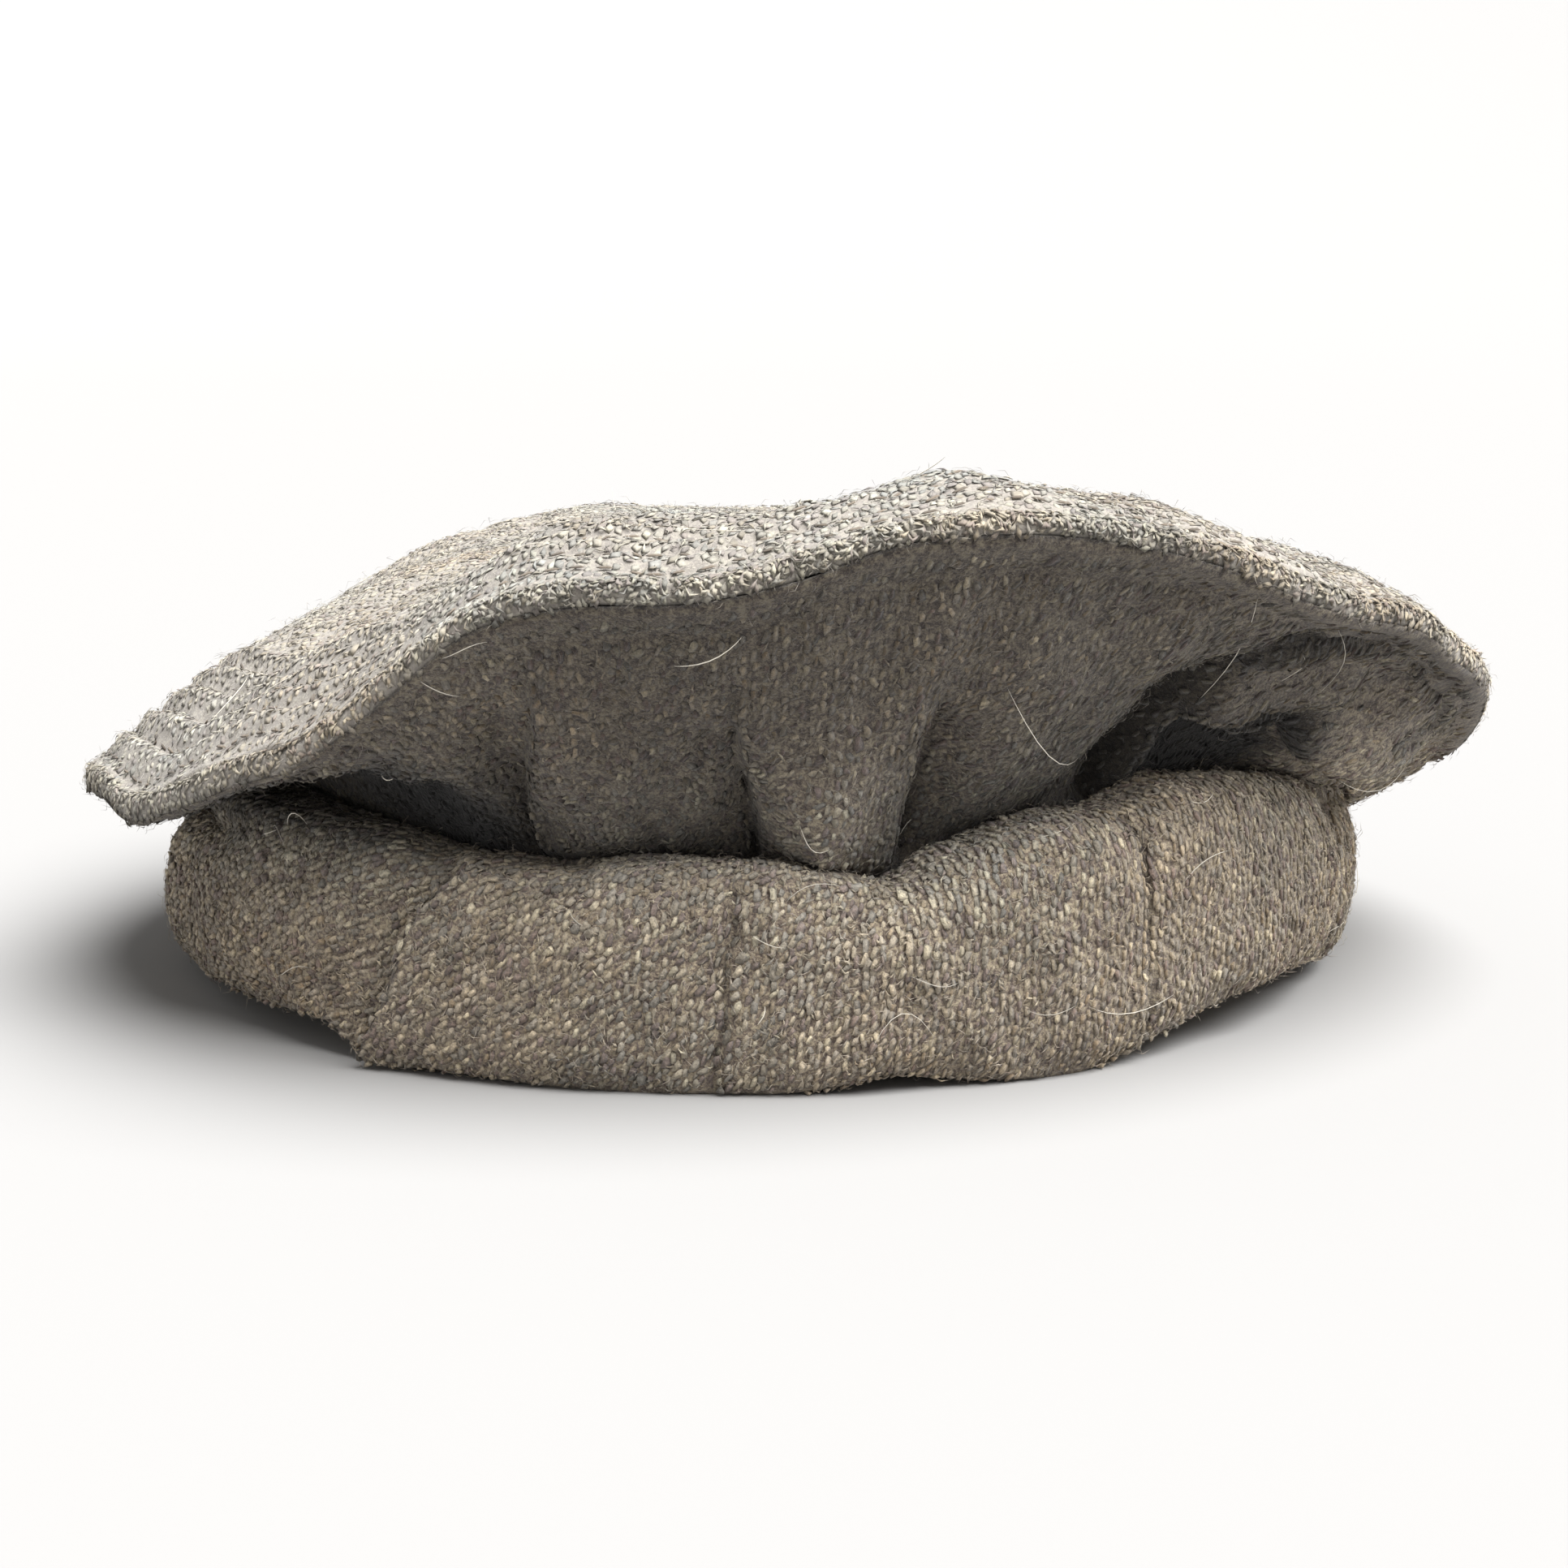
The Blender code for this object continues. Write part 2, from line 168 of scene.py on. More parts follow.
DENTS = table(
    "name angle share push width",
    ("middle hollow", 0, 0.00, -0.05, 0.40),
    ("left furrow", -52, 0.62, -0.05, 0.16),
    ("front furrow", 2, 0.70, -0.03, 0.14),
    ("right crest", 20, 0.74, 0.05, 0.16),
    ("right furrow", 50, 0.84, -0.06, 0.12),
    ("back furrow", 150, 0.55, -0.06, 0.22),
    ("back ridge", -140, 0.60, 0.04, 0.22),
)
print(len(FOLDS) + len(SOFT_FOLDS), "folds in the wall and", len(DENTS), "dents in the crown")

# %% [markdown]
# A crease is a groove along a line, and a step where one side of the line lies over the other. Its places are
# degrees round and shares of the wall, or degrees round the roll's own section. Its sizes are in millimetres,
# and start is its strength at its first end. The wool in its groove is painted darker, as painted shade. A
# hollow is a stretch of the wall whose wool is painted darker, as painted shade, or painted paler, as painted
# light, where its depth is negative.

# %% Creases and hollows
CREASE_COLUMNS = "name line groove width step reach start"
WALL_CREASES = table(
    CREASE_COLUMNS,
    ("middle seam", ((-1.8, 0.26), (-1.0, 0.60), (0.2, 0.93), (0.4, 1.10)), 3.2, 1.2, 2.2, 7, 0.25),
    ("lobe's right side", ((15.2, 0.40), (15.5, 0.78), (15.0, 0.93), (14.5, 1.10)), 4.6, 1.5, -3.2, 8, 0.15),
    ("left corner", ((-16.5, 0.10), (-18.0, 0.35), (-22.8, 0.80), (-23.0, 1.05)), 1.0, 1.2, 3.0, 11, 0.6),
    ("fold beside it", ((-11.0, 0.62), (-9.5, 0.85), (-9.0, 1.05)), 1.2, 1.5, -0.8, 6, 0.2),
    (
        "right valley",
        ((54.0, 0.08), (45.2, 0.20), (42.5, 0.44), (41.2, 0.64), (39.8, 0.76), (38.4, 0.92), (37.2, 1.10)),
        7.5, 2.4, 4.0, 9, 0.40,
    ),
    ("valley's branch", ((52.0, 0.14), (60.0, 0.12), (70.0, 0.10)), 2.2, 1.6, 0.0, 6, 0.7),
    ("under the ridge", ((43.5, 0.78), (46.0, 0.61), (50.0, 0.51), (57.0, 0.49)), 3.6, 1.8, -1.6, 6, 0.9),
    ("edge band, right", ((56, 0.03), (69, 0.06), (76, 0.18), (69, 0.31)), 2.2, 0.8, 0.8, 5, 0.7),
    ("edge band, round the side", ((78, 0.12), (95, 0.13), (112, 0.11)), 1.4, 0.8, 0.0, 5, 0.4),
    ("right end wrinkle, upper", ((58, 0.46), (62, 0.28), (66, 0.14)), 1.3, 0.9, 0.8, 5, 0.8),
    ("right end wrinkle, lower", ((62, 0.62), (70, 0.44), (80, 0.30)), 1.5, 1.0, 0.9, 6, 0.7),
    ("back crease, right", ((116, 0.40), (119, 0.75), (118, 1.10)), 2.2, 1.2, 1.4, 7, 0.2),
    ("back crease, middle", ((163, 0.36), (160, 0.72), (161, 1.10)), 2.4, 1.2, -1.6, 7, 0.2),
    ("back crease, left", ((-150, 0.30), (-153, 0.70), (-152, 1.10)), 2.2, 1.2, 1.4, 7, 0.2),
    ("left end crease", ((-104, 0.40), (-100, 0.72), (-101, 1.10)), 2.0, 1.2, -1.2, 7, 0.2),
)
HOLLOWS = table(
    "name line depth width",
    ("left pocket", ((-70, 0.50), (-50, 0.66), (-40, 0.78), (-30, 0.90)), 0.95, 11),
    ("left pocket, under the crown", ((-56, 0.30), (-42, 0.30), (-34, 0.40)), 0.80, 8),
    ("left pocket, dusk round it", ((-62, 0.45), (-46, 0.48), (-36, 0.62), (-28, 0.86)), 0.45, 17),
    ("right hollow", ((44, 0.82), (47, 0.66), (51, 0.58), (58, 0.58)), 0.80, 7.5),
    ("right hollow, deep in", ((44, 0.94), (50, 0.86), (58, 0.78)), 0.90, 7),
    ("right valley", ((38.4, 0.90), (41, 0.66), (42.5, 0.45), (45, 0.22), (52, 0.12)), 0.55, 4),
    ("upper wall, in the shade", ((-8, 0.12), (30, 0.15), (30, 0.60)), 0.22, 18),
    # The last two rows are painted light: the wool is painted paler where the wall stands out into the light.
    ("lobe, worn paler", ((6, 0.60), (7, 0.88)), -0.60, 10),
    ("right end, worn paler", ((68, 0.58), (82, 0.45), (98, 0.35)), -1.3, 16),
)
ROLL_CREASES = table(
    CREASE_COLUMNS,
    (
        "front seam", ((-3.6, -60), (-3.3, -24), (-2.0, -8), (-2.6, 6), (-1.4, 22), (-2.1, 40), (-1.2, 62)),
        1.5, 0.6, 0.4, 5, 1,
    ),
    ("right seam", ((37.2, -62), (36.8, -37), (36.0, 9), (35.8, 42), (35.0, 66)), 2.8, 0.75, -0.8, 5, 1),
    ("left step", ((-37.5, -60), (-36.0, -28), (-32.0, 3), (-27.0, 53), (-24.8, 80)), 2.0, 0.8, 4.0, 12, 1),
    ("right end seam", ((74, -60), (72.5, 0), (72, 70)), 1.4, 0.8, 0.8, 6, 1),
    ("back seam 1", ((107, -60), (108.5, 0), (109, 80)), 1.5, 0.8, -0.9, 6, 1),
    ("back seam 2", ((147, -60), (146, 0), (145, 80)), 1.4, 0.8, 0.6, 6, 1),
    ("back seam 3", ((180, -60), (181, 0), (180, 80)), 1.5, 0.8, 0.5, 6, 1),
    ("back seam 4", ((-145, -60), (-146, 0), (-148, 80)), 1.4, 0.8, -1.0, 6, 1),
    ("left seam", ((-111, -60), (-110, 0), (-108, 80)), 1.5, 0.8, 0.9, 6, 1),
    ("left end seam", ((-71, -60), (-70, 0), (-68, 70)), 1.1, 0.8, 0.6, 6, 1),
)
print(len(WALL_CREASES), "creases in the wall and", len(ROLL_CREASES), "in the roll")

# %% [markdown]
# The functions take whole arrays of places at once, because the fine cloth has many thousand points and
# a loop in Python over each would be slow. A periodic curve through a table's rows gives every height.

# %% Curves through the tables


def around(rows, column, angle):
    """A column's values at angles, on the smooth closed curve through a table's rows."""
    knots = np.array([row.angle for row in rows], float)
    values = np.array([getattr(row, column) for row in rows], float)
    count = len(rows)
    turned = (np.asarray(angle, float) - knots[0]) % 360 + knots[0]
    index = np.searchsorted(knots, turned, side="right") - 1

    def knot(step):
        row = index + step
        return knots[row % count] + 360 * (row // count), values[row % count]

    (a0, v0), (a1, v1), (a2, v2), (a3, v3) = [knot(step) for step in (-1, 0, 1, 2)]
    slope_1 = (v2 - v0) / (a2 - a0) * (a2 - a1)
    slope_2 = (v3 - v1) / (a3 - a1) * (a2 - a1)
    t = (turned - a1) / (a2 - a1)
    start = (2 * t**3 - 3 * t**2 + 1) * v1 + (t**3 - 2 * t**2 + t) * slope_1
    return start + (3 * t**2 - 2 * t**3) * v2 + (t**3 - t**2) * slope_2


def bell(distance, width):
    """A soft bump, 1 at its middle and near 0 at twice its width."""
    return np.exp(-((distance / width) ** 2))


def turned_from(angle, other):
    """The signed way in degrees from one angle to another."""
    return (angle - other + 180) % 360 - 180


def soft_max(first, second, blend):
    """The larger of two heights, rounded over where they cross."""
    return (first + second + np.sqrt((first - second) ** 2 + blend**2)) / 2


def smooth_step(low, high, value):
    """Rises softly from 0 at low to 1 at high."""
    t = np.clip((value - low) / (high - low), 0, 1)
    return t * t * (3 - 2 * t)


def unit(vectors):
    """The same directions, each of length 1."""
    return vectors / np.maximum(np.linalg.norm(vectors, axis=-1, keepdims=True), 1e-12)


print("the crown's edge rises", round(CROWN_RISE * around(EDGE, "rise", 18) / MM), "mm over the roll")

# %% [markdown]
# Cloth is never quite smooth. Its lumps are a sum of a few waves that run in random ways. Creases need the
# distance from every point to a line on the cloth, and the side of it that the point is on.

# %% Lumps and creases
RIPPLE_WAVES = 14
RIPPLE_LENGTHS = (1.4, 3.0)
CREASE_ENDS = 0.15
CREASE_EDGE = 0.5 * MM
CREASE_SHADE = 0.6
CREASE_SHADE_SPREAD = 0.3
FULL_GROOVE = 3


def ripples(points, size, seed):
    """A random soft relief of about -1 to 1, with lumps of about this size. points is (n, 3)."""
    random = np.random.default_rng(seed)
    ways = unit(random.normal(size=(RIPPLE_WAVES, 3)))
    lengths = size * random.uniform(*RIPPLE_LENGTHS, RIPPLE_WAVES)
    phases = random.uniform(0, 2 * math.pi, RIPPLE_WAVES)
    total = np.zeros(len(points))
    for way, length, phase in zip(ways, lengths, phases):
        total += np.sin(points @ way * (2 * math.pi / length) + phase)
    return total / math.sqrt(RIPPLE_WAVES)


def lumps(points, sizes):
    """Soft relief in metres. Each row of sizes is the height and the size of its lumps, and a seed."""
    return sum(height * ripples(points, size, seed) for height, size, seed in sizes)


def beside_line(line, angle, place, angle_scale, place_scale):
    """Distance to a line on the cloth, in metres, the side of it, and how far along it, from 0 to 1."""
    nearest = np.full(len(angle), math.inf)
    side = np.zeros(len(angle))
    way = np.zeros(len(angle))
    passed = 0
    for (angle_1, place_1), (angle_2, place_2) in zip(line, line[1:]):
        x = turned_from(angle, angle_1) * angle_scale
        y = (place - place_1) * place_scale
        end_x = (angle_2 - angle_1) * angle_scale
        end_y = (place_2 - place_1) * place_scale
        length = math.hypot(end_x, end_y)
        along = np.clip((x * end_x + y * end_y) / length**2, 0, 1)
        apart = np.hypot(x - along * end_x, y - along * end_y)
        closer = apart < nearest
        nearest = np.where(closer, apart, nearest)
        side = np.where(closer, np.sign(x * end_y - y * end_x), side)
        way = np.where(closer, passed + along * length, way)
        passed += length
    return nearest, side, way / passed


def crease_strength(crease, way):
    """A crease's strength along it, from its start to its full strength at its end."""
    return crease.start + (1 - crease.start) * way


def crease_push(creases, angle, place, angle_scale, place_scale):
    """How far creases push a surface outwards, in metres, at places given as the creases' lines are."""
    total = np.zeros(len(angle))
    for crease in creases:
        nearest, side, way = beside_line(crease.line, angle, place, angle_scale, place_scale)
        within = smooth_step(0, CREASE_ENDS, way) * smooth_step(0, CREASE_ENDS, 1 - way)
        over = np.tanh(nearest / CREASE_EDGE) * side * np.exp(-nearest / (crease.reach * MM))
        groove = crease.groove * bell(nearest, crease.width * MM)
        total += crease_strength(crease, way) * MM * (crease.step * within * over - groove)
    return total


def crease_shade(creases, angle, place, angle_scale, place_scale):
    """How much of its tone the wool keeps beside creases: painted shade darkens it in them."""
    total = np.ones(len(angle))
    for crease in creases:
        nearest, _, way = beside_line(crease.line, angle, place, angle_scale, place_scale)
        strength = crease_strength(crease, way) * min(crease.groove / FULL_GROOVE, 1)
        total *= 1 - CREASE_SHADE * strength * bell(nearest, (crease.width + CREASE_SHADE_SPREAD) * MM)
    return total


print("lumps are sums of", RIPPLE_WAVES, "waves")

# %% [markdown]
# The crown's edge is an oval, set a little to the right, that draws in where it droops. Its top climbs
# from the middle's height to the edge's and swells between them. Every piece is built round one upright
# axis, placed so that the whole cap is centred in the frame.

# %% Shape of the crown
CAD_STATIONS = np.arange(96) * 3.75


def crown_radius(angle):
    """The crown's edge, from the roll's axis."""
    across = np.sin(np.radians(angle))
    droop = 1 - around(EDGE, "rise", angle)
    return CROWN_FRONT + (CROWN_SIDE - CROWN_FRONT) * across**2 + CROWN_SHIFT * across - DROOP_PULL * droop


def crown_height(angle, share):
    """The crown's top face without its stitching. share is 0 at the middle and 1 at the edge."""
    middle = ROLL_HEIGHT + CROWN_RISE * MIDDLE_RISE
    edge = ROLL_HEIGHT + CROWN_RISE * around(EDGE, "rise", angle)
    dome = share**3 * (1 - share) * DOME_PEAK
    height = middle + (edge - middle) * share**EDGE_FADE + CROWN_RISE * dome * around(EDGE, "swell", angle)
    x = share * np.sin(np.radians(angle))
    y = -share * np.cos(np.radians(angle))
    for dent in DENTS:
        dent_x = dent.share * math.sin(math.radians(dent.angle))
        dent_y = -dent.share * math.cos(math.radians(dent.angle))
        apart = np.hypot(x - dent_x, y - dent_y)
        height = height + CROWN_RISE * dent.push * bell(apart, dent.width) * (1 - share**4)
    return height


edge_x = crown_radius(CAD_STATIONS) * np.sin(np.radians(CAD_STATIONS))
edge_y = -crown_radius(CAD_STATIONS) * np.cos(np.radians(CAD_STATIONS))
AXIS = Vector((-(edge_x.max() + edge_x.min()) / 2, -(edge_y.max() + edge_y.min()) / 2, 0))


def to_points(angle, radius, height):
    """Points in the frame from their angles, radii round the axis and heights."""
    turn = np.radians(angle)
    x = AXIS.x + radius * np.sin(turn)
    y = AXIS.y - radius * np.cos(turn)
    return np.stack([x, y, height + 0 * x], axis=-1)


print("the axis stands at", [round(value / MM, 2) for value in AXIS], "mm")

# %% [markdown]
# The roll's section is a rounded square whose crest and underside rise and fall round the cap. Each seam
# across the roll pinches it a little, and its flat underside never goes below its lift.

# %% Shape of the roll


def roll_ends(angle):
    """The section's half height, middle height and lowest level, and how far its seams pinch it."""
    pinch = sum(bell(turned_from(angle, seam), SEAM_SPREAD) for seam in ROLL_SEAMS) * SEAM_PINCH
    crest = ROLL_HEIGHT * around(ROLL, "crest", angle)
    bottom = ROLL_HEIGHT * np.maximum(around(ROLL, "lift", angle), 0)
    return (crest - bottom) / 2, (crest + bottom) / 2, bottom, pinch


def roll_section(angle, turn, clearance=0.0):
    """Radius and height of points of the roll's section. turn is 0 outside, 90 on top, 180 inside."""
    half_height, middle, bottom, pinch = roll_ends(angle)
    sideways = np.cos(np.radians(turn))
    upward = np.sin(np.radians(turn))
    power = 2 / ROLL_SQUARENESS
    outward = np.sign(sideways) * np.abs(sideways) ** power
    over = np.sign(upward) * np.abs(upward) ** power
    outward = np.where(outward > 0, outward * (1 - pinch), outward)
    over = np.where(over > 0, over * (1 - pinch), over * UNDERSIDE_PRESS)
    radius = ROLL_MIDDLE + outward * (ROLL_THICKNESS / 2 + clearance)
    return radius, np.maximum(middle + over * (half_height + clearance), bottom)


def roll_top(angle, radius, clearance):
    """The height of the roll's upper side over a radius, or a very low one beside the roll."""
    half_height, middle, _, pinch = roll_ends(angle)
    outward = (radius - ROLL_MIDDLE) / (ROLL_THICKNESS / 2 + clearance)
    outward = np.where(outward > 0, outward / (1 - pinch), outward)
    inside = 1 - np.abs(outward) ** ROLL_SQUARENESS
    top = middle + np.maximum(inside, 0) ** (1 / ROLL_SQUARENESS) * (half_height + clearance) * (1 - pinch)
    return np.where(inside > 0, top, -ROLL_HEIGHT)


print("the roll is", round(float(roll_section(0, 90)[1]) / MM, 1), "mm tall in front")

# %% [markdown]
# The wall hangs from under the crown's edge in to the neck. It sags, its folds push it out and in, and
# its relief lies square to it. It never sinks into the roll, and it joins the crown's underside softly.

# %% Shape of the wall
WALL_ACROSS = math.radians(1) * (CROWN_SIDE + WALL_RADIUS) / 2
WALL_SEAM_PLACE = 4.6 * MM
WALL_SEAM_DEPTH = 0.9 * MM
WALL_SEAM_WIDTH = 0.9 * MM
WALL_LUMPS = ((0.50 * MM, 9 * MM, 31), (0.25 * MM, 4 * MM, 32))
YARN_ROOM = 0.5 * MM
SEAM_FADE = 0.10
NECK_FADE = 0.05
HOLLOW_SHARPNESS = 3
# Painted shade: the wall is painted darker towards the neck.
NECK_SHADE = 0.30
NECK_SHADE_SHARES = (0.72, 0.97)
ROLL_BLEND = 1.0 * MM
CROWN_BLEND = 5 * MM


def fold_push(angle, share):
    """How far the wall's folds stand out, or in, at a place on the cloth."""
    total = 0
    for fold in FOLDS + SOFT_FOLDS:
        line = ((fold.angle_1, fold.share_1), (fold.angle_2, fold.share_2))
        apart, _, _ = beside_line(line, angle, share, WALL_ACROSS, WALL_RUN)
        total = total + fold.push * WALL_RUN * bell(apart, fold.width * WALL_RUN)
    return total


def wall_relief(angle, share):
    """The fine relief of the wall: creases, the seam under the crown's edge and soft lumps."""
    creased = crease_push(WALL_CREASES, angle, share, WALL_ACROSS, WALL_RUN)
    seam = WALL_SEAM_DEPTH * bell(share * WALL_RUN - WALL_SEAM_PLACE, WALL_SEAM_WIDTH)
    flat = np.stack([np.cos(np.radians(angle)), np.sin(np.radians(angle)), share], axis=-1)
    flat *= (CROWN_SIDE, CROWN_SIDE, WALL_RUN)
    return (creased + lumps(flat, WALL_LUMPS) - YARN_ROOM) * smooth_step(0, SEAM_FADE, share) - seam


def wall_shade(angle, share):
    """How much of its tone the wall's wool keeps: painted shade in its creases, deep in its hollows and
    towards the neck, and painted light where a hollow's depth is negative.
    """
    shade = crease_shade(WALL_CREASES, angle, share, WALL_ACROSS, WALL_RUN)
    for hollow in HOLLOWS:
        nearest, _, _ = beside_line(hollow.line, angle, share, WALL_ACROSS, WALL_RUN)
        shade *= 1 - hollow.depth * np.exp(-((nearest / (hollow.width * MM)) ** HOLLOW_SHARPNESS))
    return shade * (1 - NECK_SHADE * smooth_step(*NECK_SHADE_SHARES, share))


def wall_free(angle, share):
    """Radius and height of the wall between the crown's edge, 0, and the neck inside the roll, 1."""
    edge_radius = crown_radius(angle) - CLOTH / 2
    edge_height = crown_height(angle, 1.0) - CLOTH - SEAM_GAP
    neck_radius, neck_height = roll_section(angle, NECK_TURN, SEAM_GAP)
    in_to_neck, down_to_neck = neck_radius - edge_radius, neck_height - edge_height
    radius = edge_radius + in_to_neck * share
    hang = around(SAG, "hang", angle) * WALL_RUN
    folded = fold_push(angle, share) * np.clip(np.minimum(share, 1 - share) / FOLD_FADE, 0, 1)
    height = edge_height + down_to_neck * share - hang * np.sin(math.pi * share) - folded
    relief = wall_relief(angle, share) * smooth_step(0, NECK_FADE, 1 - share)
    fall = (down_to_neck - math.pi * hang * np.cos(math.pi * share)) / in_to_neck
    radius = radius + relief * fall / np.hypot(1, fall)
    height = height - relief / np.hypot(1, fall)
    height = soft_max(height, roll_top(angle, radius, SEAM_GAP), ROLL_BLEND)
    inside_edge = np.clip((edge_radius - radius) / (WALL_RUN * FOLD_FADE), 0, 1)
    room = SEAM_GAP + CLOTH * (2 + inside_edge)
    under_crown = crown_height(angle, radius / crown_radius(angle)) - room
    height = -soft_max(-height, -under_crown, CROWN_BLEND * inside_edge)
    return radius, np.where(share > 0, height, edge_height)


print("the wall is", round(WALL_RUN / MM, 1), "mm wide, from the roll's inside to the crown's edge")

# %% [markdown]
# The roll's own relief is lumps and creases. It fades where the wall lies on it, so that the two cloths
# never cross. The shoulders, where the wound cloth slumps at both sides, are cut away in full.

# %% Relief of the roll
ROLL_ACROSS = math.radians(1) * ROLL_OUTER
ROLL_TURN = 0.30 * MM
ROLL_LUMPS = ((0.7 * MM, 16 * MM, 21), (0.3 * MM, 6 * MM, 22))
ROLL_FREE = (0.3 * MM, 2.5 * MM)
SHOULDERS = ((-86, 11.0 * MM), (88, 2.0 * MM))
SHOULDER_SPREAD = 26
SHOULDER_TURN = 38
# Painted shade on the roll's top on the left, far in under the wall and the crown's overhang.
DUSK = 0.62
DUSK_ANGLE = -60
DUSK_SPREAD = 24
DUSK_TURNS = (15, 70)
FACING_DOWN = (0.6, 0.95)


def wall_gap(angle, turn):
    """How far the wall hangs over a place of the roll, or a long way where there is no wall over it."""
    radius, height = roll_section(angle, turn)
    edge_radius = crown_radius(angle) - CLOTH / 2
    neck_radius, _ = roll_section(angle, NECK_TURN, SEAM_GAP)
    share = np.clip((edge_radius - radius) / (edge_radius - neck_radius), 0, 1)
    _, wall_height = wall_free(angle, share)
    return np.where((turn > 0) & (turn < 180), wall_height - height, ROLL_HEIGHT) * (radius > neck_radius)


def roll_shade(angle, turn):
    """How much of its tone the roll's wool keeps: painted shade in its creases and far in under the wall."""
    under = 1 - DUSK * bell(turned_from(angle, DUSK_ANGLE), DUSK_SPREAD) * smooth_step(*DUSK_TURNS, turn)
    return under * crease_shade(ROLL_CREASES, angle, turn, ROLL_ACROSS, ROLL_TURN)


def roll_detail(points, angle, turn):
    """Low relief of the roll, outward: soft lumps, the creases of its seams and its shoulders."""
    relief = lumps(points, ROLL_LUMPS) - YARN_ROOM
    creased = crease_push(ROLL_CREASES, angle, turn, ROLL_ACROSS, ROLL_TURN)
    slump = sum(drop * bell(turned_from(angle, side), SHOULDER_SPREAD) for side, drop in SHOULDERS)
    free = smooth_step(*ROLL_FREE, wall_gap(angle, turn))
    return (relief + creased) * free - slump * bell(turn - SHOULDER_TURN, SHOULDER_SPREAD)


def roll_points(angle, turn):
    """The roll's surface with its relief, which is laid along the section's own normal."""
    step = 0.5
    radius, height = roll_section(angle, turn)
    before = np.stack(roll_section(angle, turn - step), axis=-1)
    after = np.stack(roll_section(angle, turn + step), axis=-1)
    along = after - before
    along /= np.maximum(np.linalg.norm(along, axis=-1), 1e-9)[:, None]
    facing_down = smooth_step(*FACING_DOWN, along[:, 0])
    relief = roll_detail(to_points(angle, radius, height), angle, turn) * (1 - facing_down)
    return to_points(angle, radius + along[:, 1] * relief, height - along[:, 0] * relief)


print("the roll's shoulders slump by", [round(drop / MM) for _, drop in SHOULDERS], "mm")

# %% [markdown]
# Each piece of cloth starts as one flat grid. Its columns go round the cap and its rows go along the
# section. A function moves every point to its place, and the edges that meet are merged. The grid keeps
# its UV map, whose units become metres of cloth, so a weave on it has the size of the real one.

# %% A grid wrapped round the cap
WELD = CLOTH / 1000
RUN_SAMPLES = 24


def placed(name, data):
    """Puts a mesh, a camera or a light into the scene, as an object at the origin."""
    made = bpy.data.objects.new(name, data)
    bpy.context.scene.collection.objects.link(made)
    return made


def wrapped_grid(name, columns, rows, place_at, shade_at, span=(0, 1), pole=False):
    """A closed body from a grid. place_at gives points and shade_at their tone, both from angles round the
    cap and from how far along the section they are, which runs over the span. That tone is mostly painted
    shade and painted light."""
    mesh = bmesh.new()
    shade = mesh.verts.layers.float.new("shade")
    mesh.loops.layers.uv.new("cloth")
    bmesh.ops.create_grid(mesh, x_segments=columns, y_segments=rows, size=0.5, calc_uvs=True)
    flat = np.array([vertex.co[:] for vertex in mesh.verts]) + 0.5
    angle, run = 360 * flat[:, 0], span[0] + (span[1] - span[0]) * flat[:, 1]
    for vertex, point, tone in zip(mesh.verts, place_at(angle, run), shade_at(angle, run)):
        vertex.co = point
        vertex[shade] = tone
    lines = np.arange(rows + 1) / rows
    angle = np.tile(360 * (np.arange(RUN_SAMPLES) / RUN_SAMPLES), rows + 1)
    run = np.repeat(span[0] + (span[1] - span[0]) * lines, RUN_SAMPLES)
    grid = place_at(angle, run).reshape(rows + 1, RUN_SAMPLES, 3)
    lengths = np.linalg.norm(np.diff(grid, axis=0), axis=2).mean(axis=1)
    run_lengths = np.concatenate([[0], np.cumsum(lengths)])
    bmesh.ops.remove_doubles(mesh, verts=mesh.verts, dist=WELD)
    if pole:
        bmesh.ops.dissolve_degenerate(mesh, dist=WELD, edges=mesh.edges)
    bmesh.ops.recalc_face_normals(mesh, faces=mesh.faces)
    data = bpy.data.meshes.new(name)
    mesh.to_mesh(data)
    mesh.free()
    uv = np.empty(len(data.loops) * 2, np.float32)
    data.uv_layers["cloth"].data.foreach_get("uv", uv)
    uv = uv.reshape(-1, 2)
    uv[:, 0] *= 2 * math.pi * ROLL_OUTER
    uv[:, 1] = np.interp(uv[:, 1], lines, run_lengths)
    data.uv_layers["cloth"].data.foreach_set("uv", uv.ravel())
    data.shade_smooth()
    print(name, "has", len(data.polygons), "faces and a section of", round(run_lengths[-1] / MM), "mm")
    return placed(name, data)


# %% [markdown]
# The crown is one disc of cloth. Rows of stitching run round its edge, about 5.5 mm apart, and pull it into
# low ridges, most of all on the left. The first row, at the rim, is shallow. The wool is painted darker in
# the rows, as painted shade in their grooves.

# %% Stitching and lumps of the crown
STITCH_ROWS = (5.2 * MM, 10.7 * MM, 16.2 * MM, 21.7 * MM, 27.2 * MM)
STITCH_DEPTH = 2.1 * MM
STITCH_WIDTH = 1.1 * MM
STITCH_LENGTH = 4.6 * MM
STITCH_WANDER = ((0.8 * MM, 30 * MM, 11),)
STITCH_LEAST = 0.22
STITCH_SIDE = -60
STITCH_SPREAD = 50
# Painted shade in the rows of stitching.
STITCH_SHADE = 0.45
SHADE_WIDTH = 0.9 * MM
PULL_CHANGE = 0.3
FIRST_ROW = 0.3
RIDGE_HEIGHT = 1.1 * MM
RIDGE_PLACE = 2.7 * MM
RIDGE_WIDTH = 1.5 * MM
RIM_BLEND = 4 * MM
CROWN_ROOM = 0.20 * MM
CROWN_LUMPS = ((0.55 * MM, 14 * MM, 12), (0.30 * MM, 5 * MM, 13), (0.12 * MM, 3.0 * MM, 14))


def stitch_wander(points):
    """How far the rows of stitching stray from a true circle."""
    return lumps(points * (1, 1, 0), STITCH_WANDER)


def stitch_strength(angle):
    """How hard the stitching pulls."""
    return STITCH_LEAST + (1 - STITCH_LEAST) * bell(turned_from(angle, STITCH_SIDE), STITCH_SPREAD)


